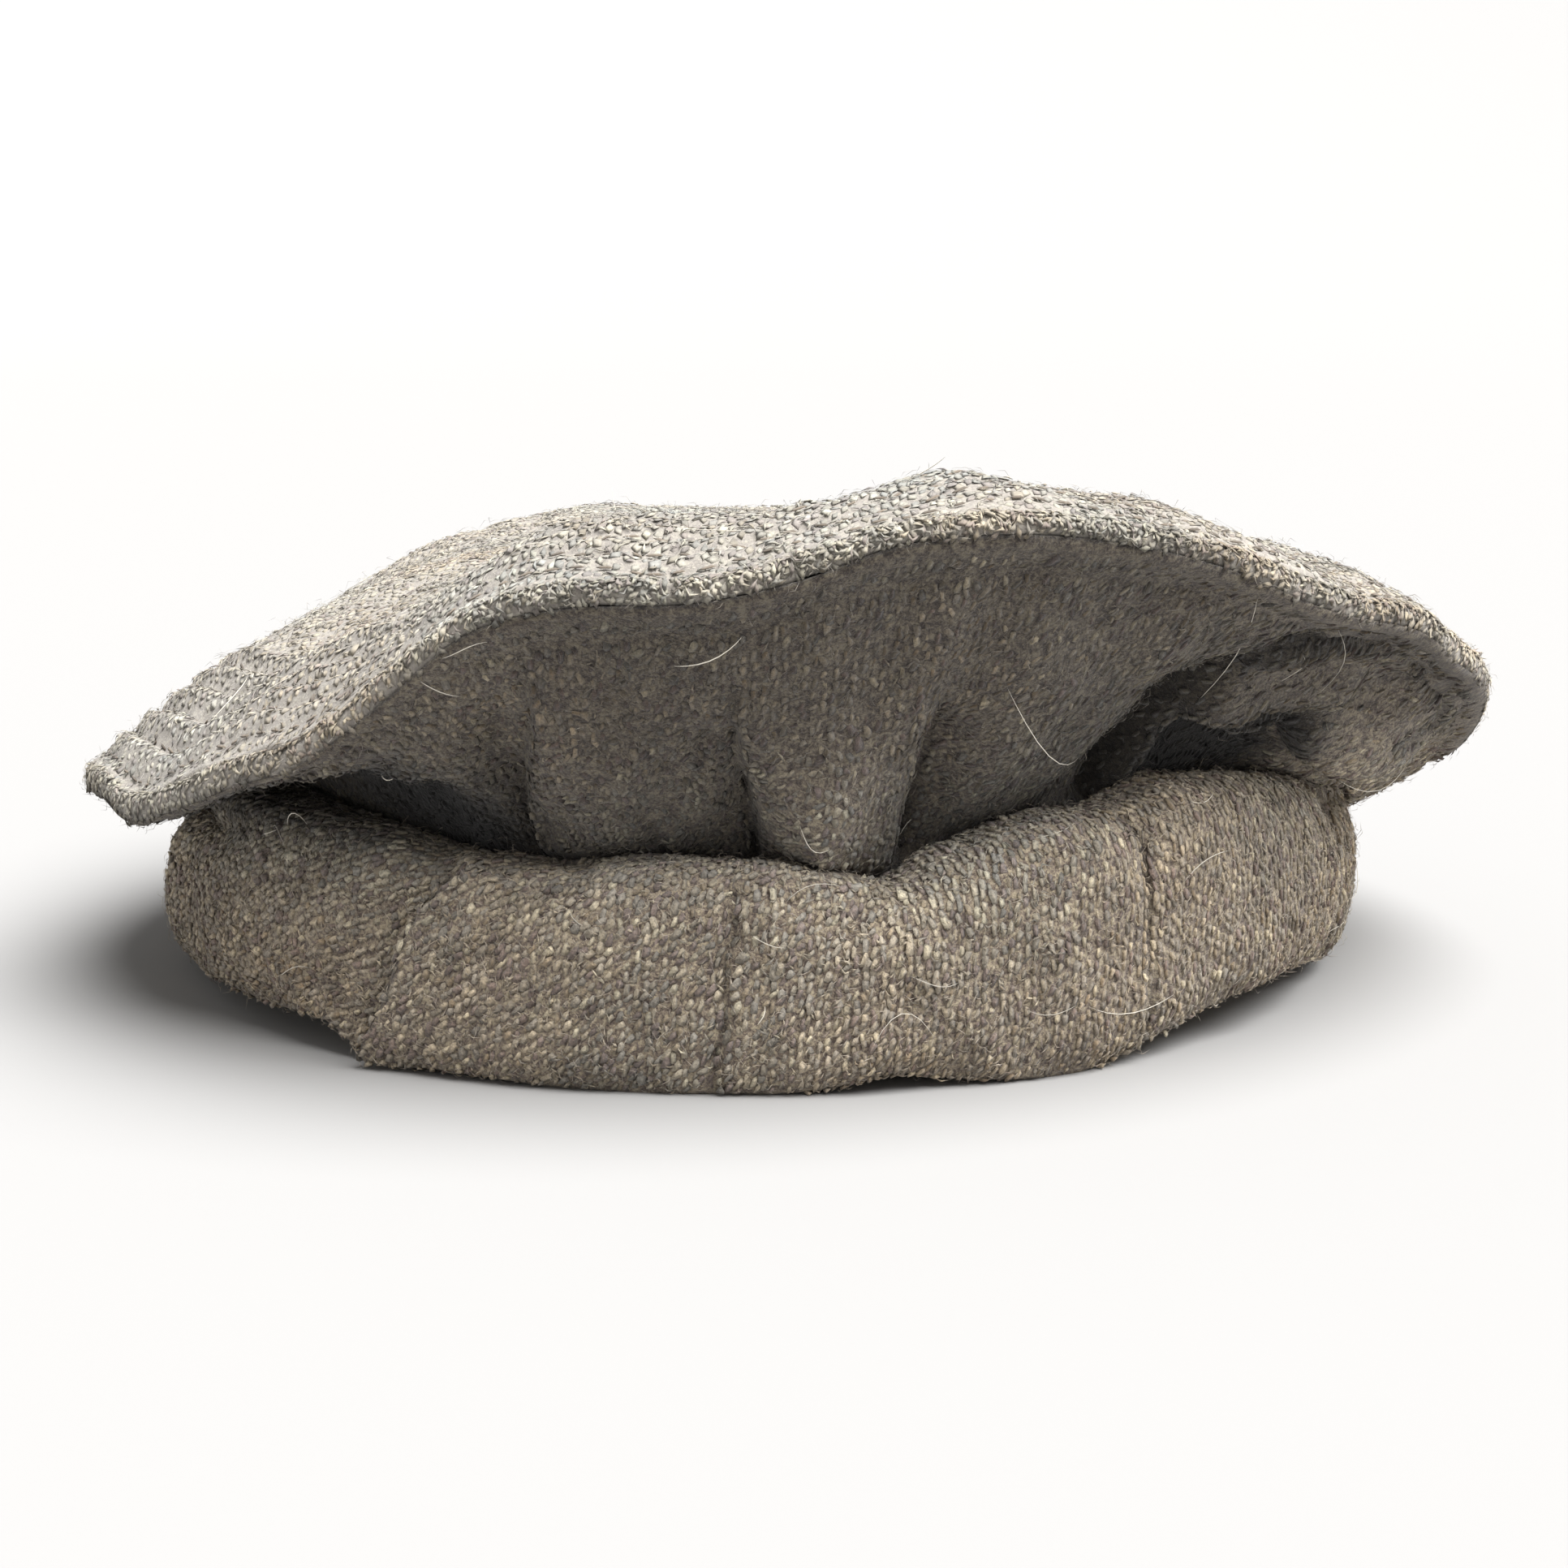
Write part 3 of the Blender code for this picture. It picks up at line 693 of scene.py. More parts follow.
def stitch_mark(angle, share):
    """Near 1 in the rows of stitching where they are strong, and 0 between them."""
    points = to_points(angle, crown_radius(angle) * share, 0)
    inward = crown_radius(angle) * (1 - share) + stitch_wander(points)
    return stitch_strength(angle) * sum(bell(inward - row, SHADE_WIDTH) for row in STITCH_ROWS)


def crown_shade(angle, share):
    """How much of its tone the crown's wool keeps: painted shade in the rows of stitching."""
    return 1 - STITCH_SHADE * stitch_mark(angle, share)


def crown_detail(points, angle, share):
    """The low relief of the crown: rows of stitching, the ridges between them, and soft lumps."""
    inward = crown_radius(angle) * (1 - share) + stitch_wander(points)
    arc = np.radians(angle) * CROWN_SIDE
    strength = stitch_strength(angle)
    relief = lumps(points, CROWN_LUMPS) - CROWN_ROOM
    for number, row in enumerate(STITCH_ROWS):
        pulled = 1 - PULL_CHANGE + PULL_CHANGE * np.cos(2 * math.pi * arc / STITCH_LENGTH + number)
        depth = STITCH_DEPTH * (FIRST_ROW if number == 0 else 1)
        relief = relief - depth * strength * pulled * bell(inward - row, STITCH_WIDTH)
        relief = relief + RIDGE_HEIGHT * strength * bell(inward - row - RIDGE_PLACE, RIDGE_WIDTH)
    return relief * smooth_step(0, RIM_BLEND, crown_radius(angle) * (1 - share))


def crown_top_points(angle, share):
    points = to_points(angle, crown_radius(angle) * share, crown_height(angle, share))
    points[:, 2] += crown_detail(points, angle, share)
    return points


print(len(STITCH_ROWS), "rows of stitching, the last", round(STITCH_ROWS[-1] / MM, 1), "mm from the edge")

# %% [markdown]
# The crown's section runs from the middle out over the top, round the lip and back along the underside.
# Its rows are closer together near the edge, where the relief is. The lip is a half circle as thick as
# the cloth.

# %% Crown cloth
CROWN_TURNS = 440
CROWN_ROWS = 84
TOP_PART = 0.80
LIP_PART = 0.86
ROW_BUNCHING = 1.6
EDGE_IN = 2.2 * MM


def crown_share(run):
    """The share of the crown's radius that a row on its top has."""
    return 1 - (1 - np.clip(run / TOP_PART, 0, 1)) ** ROW_BUNCHING


def crown_at(angle, run):
    """The crown's closed section."""
    lip_turn = np.clip((run - TOP_PART) / (LIP_PART - TOP_PART), 0, 1) * math.pi
    back = np.clip((run - LIP_PART) / (1 - LIP_PART), 0, 1)
    radius = crown_radius(angle) - EDGE_IN
    lip_share = (radius - CLOTH / 2) / crown_radius(angle)
    top = crown_top_points(angle, crown_share(run) * lip_share)
    edge = crown_top_points(angle, lip_share)[:, 2]
    lip_out = radius - CLOTH / 2 + CLOTH / 2 * np.sin(lip_turn)
    lip_up = edge - CLOTH / 2 + CLOTH / 2 * np.cos(lip_turn)
    under = to_points(angle, radius * (1 - back), crown_height(angle, 1 - back) - CLOTH)
    outer = np.where((run < TOP_PART)[:, None], top, to_points(angle, lip_out, lip_up))
    return np.where((run > LIP_PART)[:, None], under, outer)


def crown_grid_shade(angle, run):
    return crown_shade(angle, crown_share(run))


crown = wrapped_grid("crown_cloth", CROWN_TURNS, CROWN_ROWS, crown_at, crown_grid_shade, pole=True)

# %% [markdown]
# Where the crown is sewn to the wall the cloth is turned in, which gives a rounded edge thicker than the
# cloth. A thin ring stands for it. It also closes the seam, so that no dark slit shows between the pieces.

# %% Rounded edge
EDGE_TURNS = 480
EDGE_AROUND = 10
EDGE_OUT = 1.15 * MM
EDGE_INSET = 1.0 * MM
EDGE_UNDER = 0.6 * MM
EDGE_YARN_ROOM = 0.35 * MM
EDGE_LUMPS = ((0.25 * MM, 5 * MM, 15),)
EDGE_PATCHES = ((0.10, 6 * MM, 16),)
# Painted shade on the lower side of the rounded edge.
EDGE_LOW_SHADE = 0.62
EDGE_SHADE_BENDS = (-70, 25)


def edge_points(angle, bend, out=0.0):
    """The surface of the rounded edge. bend is in degrees, 0 outside and 90 on top."""
    turn = np.radians(bend)
    middle = crown_radius(angle) - EDGE_INSET - EDGE_OUT
    top = crown_height(angle, middle / crown_radius(angle)) - CROWN_ROOM
    bottom = crown_height(angle, 1.0) - CLOTH - SEAM_GAP - EDGE_UNDER
    radius = middle + (EDGE_OUT + out) * np.cos(turn)
    height = (top + bottom) / 2 + ((top - bottom) / 2 + out) * np.sin(turn)
    points = to_points(angle, radius, height)
    points[:, 2] += lumps(points, EDGE_LUMPS)
    return points


def edge_shade(angle, bend):
    """How much of its tone the rounded edge keeps: random patches of its own tone, and painted shade on its
    lower side, where it meets the wall.
    """
    lit = EDGE_LOW_SHADE + (1 - EDGE_LOW_SHADE) * smooth_step(*EDGE_SHADE_BENDS, bend)
    return (1 + lumps(edge_points(angle, bend), EDGE_PATCHES)) * lit


def edge_core(angle, bend):
    """The rounded edge's cloth, a little smaller, with room for its yarns."""
    return edge_points(angle, bend, -EDGE_YARN_ROOM)


edge_fold = wrapped_grid("crown_edge_fold", EDGE_TURNS, EDGE_AROUND, edge_core, edge_shade, (-180, 180))

# %% [markdown]
# The roll is the lower end of the cloth tube, wound up on the outside. Its section is a rounded square,
# pressed flat below. Here and there the wound cloth creases or steps.

# %% Roll
ROLL_TURNS = 440
ROLL_AROUND = 64
roll = wrapped_grid("rolled_brim_cloth", ROLL_TURNS, ROLL_AROUND, roll_points, roll_shade, (-90, 270))

# %% [markdown]
# The wall is the tube between the two. Its outer face runs from the crown's edge in and down, lies on the
# roll, and goes on inside it. Its inner face is one cloth's thickness further in.

# %% Wall cloth
WALL_TURNS = 440
WALL_ROWS = 60
OUTER_PART = 0.62
HUG_PART = 0.78
HUG_TURN = 90.0


def wall_line(angle, way):
    """Radius and height of the wall's outer face: way 0 to 1 hangs free, and 1 to 2 lies inside the roll."""
    free_radius, free_height = wall_free(angle, np.clip(way, 0, 1))
    hug_radius, hug_height = roll_section(angle, NECK_TURN + HUG_TURN * np.clip(way - 1, 0, 1), SEAM_GAP)
    hugging = way > 1
    return np.where(hugging, hug_radius, free_radius), np.where(hugging, hug_height, free_height)


def wall_at(angle, run):
    """The wall's closed section: down its outer face, in through the roll and back up its inner face."""
    hugging = np.clip((run - OUTER_PART) / (HUG_PART - OUTER_PART), 0, 1)
    down = np.clip(run / OUTER_PART, 0, 1) + hugging
    up = 2 * (1 - np.clip((run - HUG_PART) / (1 - HUG_PART), 0, 1))
    way = np.where(run <= HUG_PART, down, up)
    step = 0.01
    radius, height = wall_line(angle, way)
    radius_1, height_1 = wall_line(angle, np.clip(way - step, 0, 2))
    radius_2, height_2 = wall_line(angle, np.clip(way + step, 0, 2))
    length = np.maximum(np.hypot(radius_2 - radius_1, height_2 - height_1), 1e-9)
    at_edge = way < 2 * step
    inner_radius = radius + np.where(at_edge, -CLOTH, CLOTH * (height_2 - height_1) / length)
    inner_height = height - np.where(at_edge, 0, CLOTH * (radius_2 - radius_1) / length)
    inside = (run > HUG_PART) & (run < 1)
    return to_points(angle, np.where(inside, inner_radius, radius), np.where(inside, inner_height, height))


def wall_grid_shade(angle, run):
    return np.where(run < HUG_PART, wall_shade(angle, np.clip(run / OUTER_PART, 0, 1)), 1)


wall = wrapped_grid("side_wall_cloth", WALL_TURNS, WALL_ROWS, wall_at, wall_grid_shade)

# %% [markdown]
# The cloth is hand-woven from thick single yarns. On its face each yarn shows as a short slanted float,
# about 1.6 mm wide and 2.5 mm long, and the floats stand in steep diagonal rows. A bump map would do from
# far away, but seen close the floats shade each other and roughen the outline, so they are real shapes:
# one small spindle from a sphere of a few faces, copied some thousand times by arrays and joined in one
# mesh, where each copy has its own place, size, bend and tint. Fuzz, stray hairs and stitches are made
# by the same function, because each is a thin spindle along a curve too.

# %% One mesh of many strands
TABLE_ROOM = 0.1 * MM
TIP = 0.9


def srgb(text):
    """A colour socket's value from an sRGB hex text."""
    values = [int(text[i:i + 2], 16) / 255 for i in (1, 3, 5)]
    linear = [value / 12.92 if value <= 0.04045 else ((value + 0.055) / 1.055) ** 2.4 for value in values]
    return (*linear, 1)


def spindle(sides, rings):
    """A closed grain of unit size along Z, tapered to both ends, with a corner towards +Y. Its faces are
    sorted, each from its lowest corner, so that every run gives the same mesh."""
    mesh = bmesh.new()
    bmesh.ops.create_uvsphere(mesh, u_segments=sides, v_segments=rings + 1, radius=1)
    bmesh.ops.rotate(mesh, verts=mesh.verts, cent=(0, 0, 0), matrix=Matrix.Rotation(math.pi / 2, 3, "Z"))
    bmesh.ops.triangulate(mesh, faces=mesh.faces)
    mesh.verts.index_update()
    points = np.array([vertex.co[:] for vertex in mesh.verts])
    faces = [[corner.index for corner in face.verts] for face in mesh.faces]
    mesh.free()
    turned = [np.roll(face, -face.index(min(face))).tolist() for face in faces]
    return points, np.array(sorted(turned))


def strands(name, grain, middle, half, bend, twist, up, width, height, tints, seed, unevenness=0.0, ends=1.0):
    """One mesh of many spindles. Each runs from middle - half to middle + half, bends by bend in the middle,
    and swings by twist before and after it. up is about the way that its height points. ends is how much of
    its tint is left at its two ends, where it dives into the cloth, as painted shade. A spindle that would
    dip into the table is left out."""
    template, corners = grain
    random = np.random.default_rng(seed)
    count, size = len(middle), len(template)
    z = template[None, :, 2, None]
    path = middle[:, None] + z * half[:, None] + (1 - z**2) * bend[:, None] + z * (1 - z**2) * twist[:, None]
    slope = half[:, None] - 2 * z * bend[:, None] + (1 - 3 * z**2) * twist[:, None]
    side = unit(np.cross(up[:, None], slope))
    out = unit(np.cross(slope, side))
    rough = 1 + unevenness * random.uniform(-1, 1, (count, size, 1))
    across = template[None, :, 0, None] * width[:, None, None] / 2 * rough
    over = template[None, :, 1, None] * height[:, None, None] / 2 * rough
    points = path + across * side + over * out
    above = points[:, :, 2].min(axis=1) > TABLE_ROOM
    points, tints, count = points[above], tints[above], int(above.sum())
    faces = (corners[None] + size * np.arange(count)[:, None, None]).reshape(-1, 3)
    colours = np.ones((count, size, 4))
    colours[:, :, :3] = tints[:, None] * np.where(np.abs(template[:, 2]) > TIP, ends, 1.0)[None, :, None]
    data = bpy.data.meshes.new(name)
    data.vertices.add(count * size)
    data.vertices.foreach_set("co", points.astype(np.float32).ravel())
    data.loops.add(faces.size)
    data.loops.foreach_set("vertex_index", faces.astype(np.int32).ravel())
    data.polygons.add(len(faces))
    data.polygons.foreach_set("loop_start", np.arange(len(faces), dtype=np.int32) * 3)
    data.update(calc_edges=True)
    attribute = data.color_attributes.new("yarn", "FLOAT_COLOR", "POINT")
    attribute.data.foreach_set("color", colours.astype(np.float32).ravel())
    data.shade_smooth()
    print(name, "has", count, "strands and", len(faces), "triangles")
    return placed(name, data)


print("the smallest grain has", len(spindle(3, 1)[1]), "faces")

# %% [markdown]
# The wool is a melange: most yarns are oatmeal or grey, with some cream, fawn and a purplish brown. Each
# float takes one of their colours with its share of chance. Evenness draws the colours together, as felt and
# sun do, and the tints also drift a little over the cloth. A tone then sets how pale each piece is: the crown
# is bleached by the sun, and the wall is the darkest. A little of the wall's darkness is its own felted wool,
# and most of it is painted shade, as the wall hangs under the crown.

# %% Colours of the wool
YARN_COLOURS = (
    ("oatmeal", "#ada28d", 0.28),
    ("warm grey", "#9c9485", 0.26),
    ("cool grey", "#8f8a80", 0.14),
    ("pale cream", "#c0b79f", 0.08),
    ("fawn", "#93856f", 0.08),
    ("mauve brown", "#80726b", 0.16),
)
CROWN_TONE = np.array([1.07, 1.12, 1.21])
BRIM_TONE = np.array([0.99, 0.95, 0.92])
# The wall's tone: a little its own darker wool, most of it painted shade from the crown above it.
WALL_TONE_AND_SHADE = np.array([0.455, 0.445, 0.44])
EDGE_TONE = CROWN_TONE * np.array([0.98, 0.94, 0.88])
TINT_DRIFT = ((0.10, 22 * MM, 41), (0.16, 4 * MM, 42))
WARM_DRIFT = ((0.04, 26 * MM, 43),)


def yarn_tints(random, points, spread, tone, evenness):
    """A colour for each yarn: one of the yarns' own colours, changed a little and drifting over the cloth."""
    shares = np.array([share for _, _, share in YARN_COLOURS])
    choice = random.choice(len(YARN_COLOURS), size=len(points), p=shares / shares.sum())
    tints = np.array([srgb(colour)[:3] for _, colour, _ in YARN_COLOURS])[choice]
    tints += evenness * (tints.mean(axis=0) - tints)
    drift = 1 + lumps(points, TINT_DRIFT)
    warm = lumps(points, WARM_DRIFT)
    tints = tone * tints * (drift * random.uniform(1 - spread, 1 + spread, len(points)))[:, None]
    tints[:, 0] *= 1 + warm
    tints[:, 2] *= 1 - warm
    return tints


print("yarn colours:", ", ".join(name for name, _, _ in YARN_COLOURS))

# %% [markdown]
# Hand-spun yarn is never even. Each float strays from its place and its lean, some are thick slubs, and
# each lies a little deeper or higher than its neighbours.

# %% Laying the floats
COLUMN_GAP = 1.55 * MM
ROW_GAP = 1.95 * MM
ROW_CLIMB = 1.0 * MM
FLOAT_LENGTH = 2.55 * MM
FLOAT_WIDTH = 1.6 * MM
FLOAT_HEIGHT = 1.0 * MM
FLOAT_ARCH = 0.30 * MM
FLOAT_SINK = 0.15 * MM
SINK_STRAY = 0.12 * MM
ACROSS_STRAY = 0.20 * MM
ALONG_STRAY = 0.28 * MM
TILT = 0.12
SLUB_CHANCE = 0.04
SLUB_SIZES = (1.2, 1.55)
FLOAT_SIZES = (0.72, 1.18)
FLOAT_LENGTHS = (0.75, 1.25)
ROUGHEST = 0.32
# Painted shade at the two ends of a float, where it dives into the cloth.
PAINTED_END_SHADE = 0.72


def sampled(place, shade, first, second, step_1, step_2):
    """Points of a cloth with its two directions, by small steps to either side, and its shade, which is
    painted shade and painted light.
    """
    right = place(first + step_1, second) - place(first - step_1, second)
    up = place(first, second + step_2) - place(first, second - step_2)
    return place(first, second), unit(right), unit(up), shade(first, second)


def lay_yarns(
    name, cloth, lean, seed, tone, size=1.0, lift=0.0, spread=0.22, stray=13, grain=(3, 2), evenness=0.0,
    bulk=1.0,
):
    """Lays one float at each sampled point of a cloth. lean is degrees from the cloth's up, to its right.
    bulk is how full it stands, lift how high in mm, and evenness how little the floats differ in colour."""
    points, right, up, shade = cloth
    random = np.random.default_rng(seed)
    count = len(points)
    normal = unit(np.cross(right, up))
    up = np.cross(normal, right)
    angle = np.radians(lean + random.normal(0, stray, count))
    along = up * np.cos(angle)[:, None] + right * np.sin(angle)[:, None]
    along = unit(along + normal * random.normal(0, TILT * bulk, count)[:, None])
    slub = random.random(count) < SLUB_CHANCE
    thick = size * np.where(slub, random.uniform(*SLUB_SIZES, count), random.uniform(*FLOAT_SIZES, count))
    half = FLOAT_LENGTH / 2 * random.uniform(*FLOAT_LENGTHS, count) * (0.5 + 0.5 * thick)
    shift = right * random.normal(0, ACROSS_STRAY, count)[:, None]
    shift = shift + up * random.normal(0, ALONG_STRAY, count)[:, None]
    sink = bulk * (lift * MM + random.normal(0, SINK_STRAY, count) - FLOAT_SINK)
    swing = right * random.normal(0, ACROSS_STRAY, count)[:, None]
    return strands(
        name, spindle(*grain), points + shift + normal * sink[:, None], along * half[:, None],
        normal * (bulk * FLOAT_ARCH), swing, normal, FLOAT_WIDTH * thick, bulk * FLOAT_HEIGHT * thick,
        yarn_tints(random, points, spread, tone, evenness) * shade[:, None], seed,
        unevenness=ROUGHEST - 0.2 * evenness, ends=PAINTED_END_SHADE + (1 - PAINTED_END_SHADE) * evenness,
    )


def lattice(length, columns):
    """The angle and the way along the cloth of every float of a ring of cloth."""
    rows = int(length / ROW_GAP) + 1
    climb = round(columns * ROW_CLIMB / ROW_GAP) * ROW_GAP / columns
    column = np.repeat(np.arange(columns), rows)
    row = np.tile(np.arange(rows), columns)
    return column * 360 / columns, (row * ROW_GAP + column * climb) % (rows * ROW_GAP)


RING_COLUMNS = round(2 * math.pi * ROLL_OUTER / COLUMN_GAP)
print(RING_COLUMNS, "columns of floats go round the cap")

# %% [markdown]
# The roll's floats follow its own section: columns run up its front, and rows climb from column to column.
# The cloth was wound at a slant, so the floats lean more on the left than on the right. Where the wall
# lies on the roll nothing shows, so no float is laid there.

# %% Yarns of the roll
TURN_TABLE = np.linspace(-90, 270, 721)
ROLL_SHOWN = (-72, 150)
ROLL_CLEAR = 1.2 * MM
ROLL_STEPS = (0.3, 0.5)
ROLL_LEAN = 22
LEAN_CHANGE = 36


def roll_arc_table():
    """The mean way along the roll's section from its underside, in metres, at each turn of the table."""
    angles = np.arange(0, 360, 15.0)
    total = np.zeros(len(TURN_TABLE) - 1)
    for angle in angles:
        radius, height = roll_section(angle, TURN_TABLE)
        total += np.hypot(np.diff(radius), np.diff(height))
    return np.concatenate([[0], np.cumsum(total / len(angles))])


ROLL_ARC = roll_arc_table()


def roll_places():
    """The angle and the turn of every float that shows on the roll."""
    angle, way = lattice(ROLL_ARC[-1], RING_COLUMNS)
    turn = np.interp(way, ROLL_ARC, TURN_TABLE)
    shows = (turn > ROLL_SHOWN[0]) & (turn < ROLL_SHOWN[1]) & (wall_gap(angle, turn) > ROLL_CLEAR)
    return angle[shows], turn[shows]


roll_angle, roll_turn = roll_places()
roll_lean = ROLL_LEAN - LEAN_CHANGE * np.sin(np.radians(roll_angle))
brim_cloth = sampled(roll_points, roll_shade, roll_angle, roll_turn, *ROLL_STEPS)
brim_yarns = lay_yarns("brim_yarns", brim_cloth, roll_lean, 51, BRIM_TONE, spread=0.18, evenness=0.1)

# %% [markdown]
# The wall is the same cloth, but felted smoother by the head that wore it: its floats stand less full
# and lie deeper.

# %% Yarns of the wall
WALL_SHOWN = (0.05, 0.985)
WALL_CLEAR = 0.8 * MM
WALL_STEPS = (0.3, 0.01)
WALL_LEAN = 16


def wall_points(angle, share):
    return to_points(angle, *wall_free(angle, share))


def wall_upward(angle, rise):
    """The wall's face from its neck, 0, up to the crown's edge, 1, so that its right and up face outwards."""
    return wall_points(angle, 1 - rise)


def upward_shade(angle, rise):
    return wall_shade(angle, 1 - rise)


def wall_lengths(angle):
    """The way along the wall from the crown's edge to the neck, in metres, at each angle."""
    steps = [wall_points(angle, np.full(len(angle), share)) for share in np.linspace(0, 1, 24)]
    return sum(np.linalg.norm(b - a, axis=1) for a, b in zip(steps, steps[1:]))


def wall_places():
    """The angle and the share of every float that shows on the wall."""
    angles = np.arange(0, 361, 3.0)
    lengths = wall_lengths(angles)
    angle, way = lattice(lengths.max(), RING_COLUMNS)
    share = way / np.interp(angle, angles, lengths)
    shows = (share > WALL_SHOWN[0]) & (share < WALL_SHOWN[1])
    angle, share = angle[shows], share[shows]
    radius, height = wall_free(angle, share)
    shows = height - roll_top(angle, radius, 0) > WALL_CLEAR
    return angle[shows], share[shows]


wall_angle, wall_place = wall_places()
wall_cloth = sampled(wall_upward, upward_shade, wall_angle, 1 - wall_place, *WALL_STEPS)
wall_yarns = lay_yarns(
    "wall_yarns", wall_cloth, WALL_LEAN, 52, WALL_TONE_AND_SHADE, lift=-0.15, spread=0.30, stray=20, bulk=0.85,
)

# %% [markdown]
# The crown is a disc cut from the same cloth, so its floats stand in straight rows over the whole top and
# not in rings. Wear has flattened them and turned them this way and that, and some are missing along the
# stitching. Only the stitching goes round: short dashes of a darker thread, sunk in the grooves.

# %% Yarns and stitches of the crown
STITCH_THREAD = "#776c5f"
THREAD_LENGTHS = (1.8 * MM, 3.4 * MM)
THREAD_WIDTH = 0.75 * MM
THREAD_HEIGHT = 0.60 * MM
THREAD_LIFT = 0.35 * MM
THREAD_BOW = 0.1 * MM
THREAD_TINTS = (0.6, 1.3)
STITCH_STRAY = 0.12
STITCH_STEPS = (0.4, -0.003)
CROWN_LEAN = 28
CROWN_STEP = 0.4 * MM
RIM_CLEAR = 2.0 * MM
BARE_SHARE = 0.4


def plan_place(x, y):
    """The angle and the share of plan coordinates round the axis."""
    angle = np.degrees(np.arctan2(x, -y))
    return angle, np.hypot(x, y) / crown_radius(angle)


def crown_flat(x, y):
    """Points of the crown's top from plan coordinates round the axis."""
    angle, share = plan_place(x, y)
    return crown_top_points(angle, np.minimum(share, 1))


def crown_flat_shade(x, y):
    angle, share = plan_place(x, y)
    return crown_shade(angle, np.minimum(share, 1))


def crown_places():
    """Plan coordinates of every float of the crown."""
    reach = CROWN_SIDE + CROWN_SHIFT
    across = np.arange(-reach, reach, COLUMN_GAP)
    x, y = np.meshgrid(across, np.arange(-reach, reach, ROW_GAP), indexing="ij")
    y = y + (np.arange(len(across)) * ROW_CLIMB % ROW_GAP)[:, None]
    x, y = x.ravel(), y.ravel()
    angle, share = plan_place(x, y)
    inside = crown_radius(angle) * (1 - share) > RIM_CLEAR
    inside &= np.random.default_rng(50).random(len(x)) > BARE_SHARE * stitch_mark(angle, share)
    return x[inside], y[inside]


crown_sampled = sampled(crown_flat, crown_flat_shade, *crown_places(), CROWN_STEP, CROWN_STEP)
crown_yarns = lay_yarns(
    "crown_yarns", crown_sampled, CROWN_LEAN, 53, CROWN_TONE, size=1.06, stray=26, spread=0.10,
    grain=(4, 1), evenness=0.45, bulk=0.38,
)


def lay_stitches():
    """The rows of stitching round the crown's edge."""
    random = np.random.default_rng(57)
    angles, shares = [], []
    for row in STITCH_ROWS:
        count = round(2 * math.pi * (CROWN_SIDE - row) / STITCH_LENGTH)
        angle = (np.arange(count) + 0.5 + random.normal(0, STITCH_STRAY, count)) * 360 / count
        points = to_points(angle, crown_radius(angle) - row, crown_height(angle, 1.0))
        angles.append(angle)
        shares.append(1 - (row - stitch_wander(points)) / crown_radius(angle))
    angle, share = np.concatenate(angles), np.concatenate(shares)
    points, right, up, _ = sampled(crown_top_points, crown_shade, angle, share, *STITCH_STEPS)
    normal = unit(np.cross(right, up))
    count = len(points)
    half = right * (random.uniform(*THREAD_LENGTHS, count) / 2)[:, None]
    tints = np.array(srgb(STITCH_THREAD)[:3]) * random.uniform(*THREAD_TINTS, count)[:, None]
    return strands(
        "crown_stitches", spindle(3, 2), points + normal * THREAD_LIFT, half, normal * THREAD_BOW,
        up * THREAD_BOW, normal, np.full(count, THREAD_WIDTH), np.full(count, THREAD_HEIGHT), tints, 58,
    )


crown_stitches = lay_stitches()

# %% [markdown]
# On the rounded edge the yarns run across it, bent from the top face down to the wall. Five staggered rows
# of floats of uneven length and lean give the tufted rim that the real one has.

# %% Yarns round the crown's edge
EDGE_BENDS = (114, 78, 42, 6, -30)
EDGE_YARN_GAP = 1.5 * MM
EDGE_LEAN = 30
BEND_STRAY = 14
EDGE_STRAY = 0.2
EDGE_STEPS = (0.3, 4.0)
edge_random = np.random.default_rng(55)


def edge_places():
    """The angle and the bend of every float of the rounded edge."""
    columns = round(2 * math.pi * CROWN_SIDE / EDGE_YARN_GAP)
    shifts = [0.5 * (row % 2) for row in range(len(EDGE_BENDS))]
    angle = np.concatenate([(np.arange(columns) + shift) * 360 / columns for shift in shifts])
    bend = np.repeat(np.array(EDGE_BENDS, float), columns)
    bend = bend + edge_random.normal(0, BEND_STRAY, len(bend))
    return angle + edge_random.normal(0, EDGE_STRAY, len(angle)), bend


edge_cloth = sampled(edge_points, edge_shade, *edge_places(), *EDGE_STEPS)
edge_yarns = lay_yarns(
    "edge_yarns", edge_cloth, EDGE_LEAN, 54, EDGE_TONE, size=0.80, spread=0.10, stray=42, grain=(4, 1),
    evenness=0.45, bulk=0.50,
)

# %% [markdown]
# Wool fuzz: fine fibres have worked loose all over the cloth. Each is a bent spindle of six faces that
# leaves the cloth at a low angle. Real fibres are 0.03 mm thick, too fine to show, so these are drawn
# three times as thick. Tufts are short locks of matted fibres that lie on the cloth and blur its weave.

# %% Fuzz and tufts
FUZZ_WIDTH = 0.09 * MM
FUZZ_LENGTH = 2.6 * MM
FUZZ_LIFT = 0.35 * MM
FUZZ_COLOURS = ("#b7ad9e", "#a0978a", "#8d857b", "#c8bfb0")
FUZZ_COUNTS = {"brim": 11000, "wall": 7000, "crown": 7500, "edge": 1600}
TUFT_WIDTH = 0.42 * MM
TUFT_LENGTH = 2.3 * MM
TUFT_COUNTS = {"brim": 6500, "wall": 3500, "crown": 9000, "edge": 900}


def headings(random, cloth):
    """A random way along the cloth at each sampled point, the way beside it, and the cloth's normal."""
    points, right, up, _ = cloth
    normal = unit(np.cross(right, up))
    heading = random.uniform(0, 2 * math.pi, len(points))
    ahead = right * np.cos(heading)[:, None] + up * np.sin(heading)[:, None]
    return ahead, np.cross(normal, ahead), normal


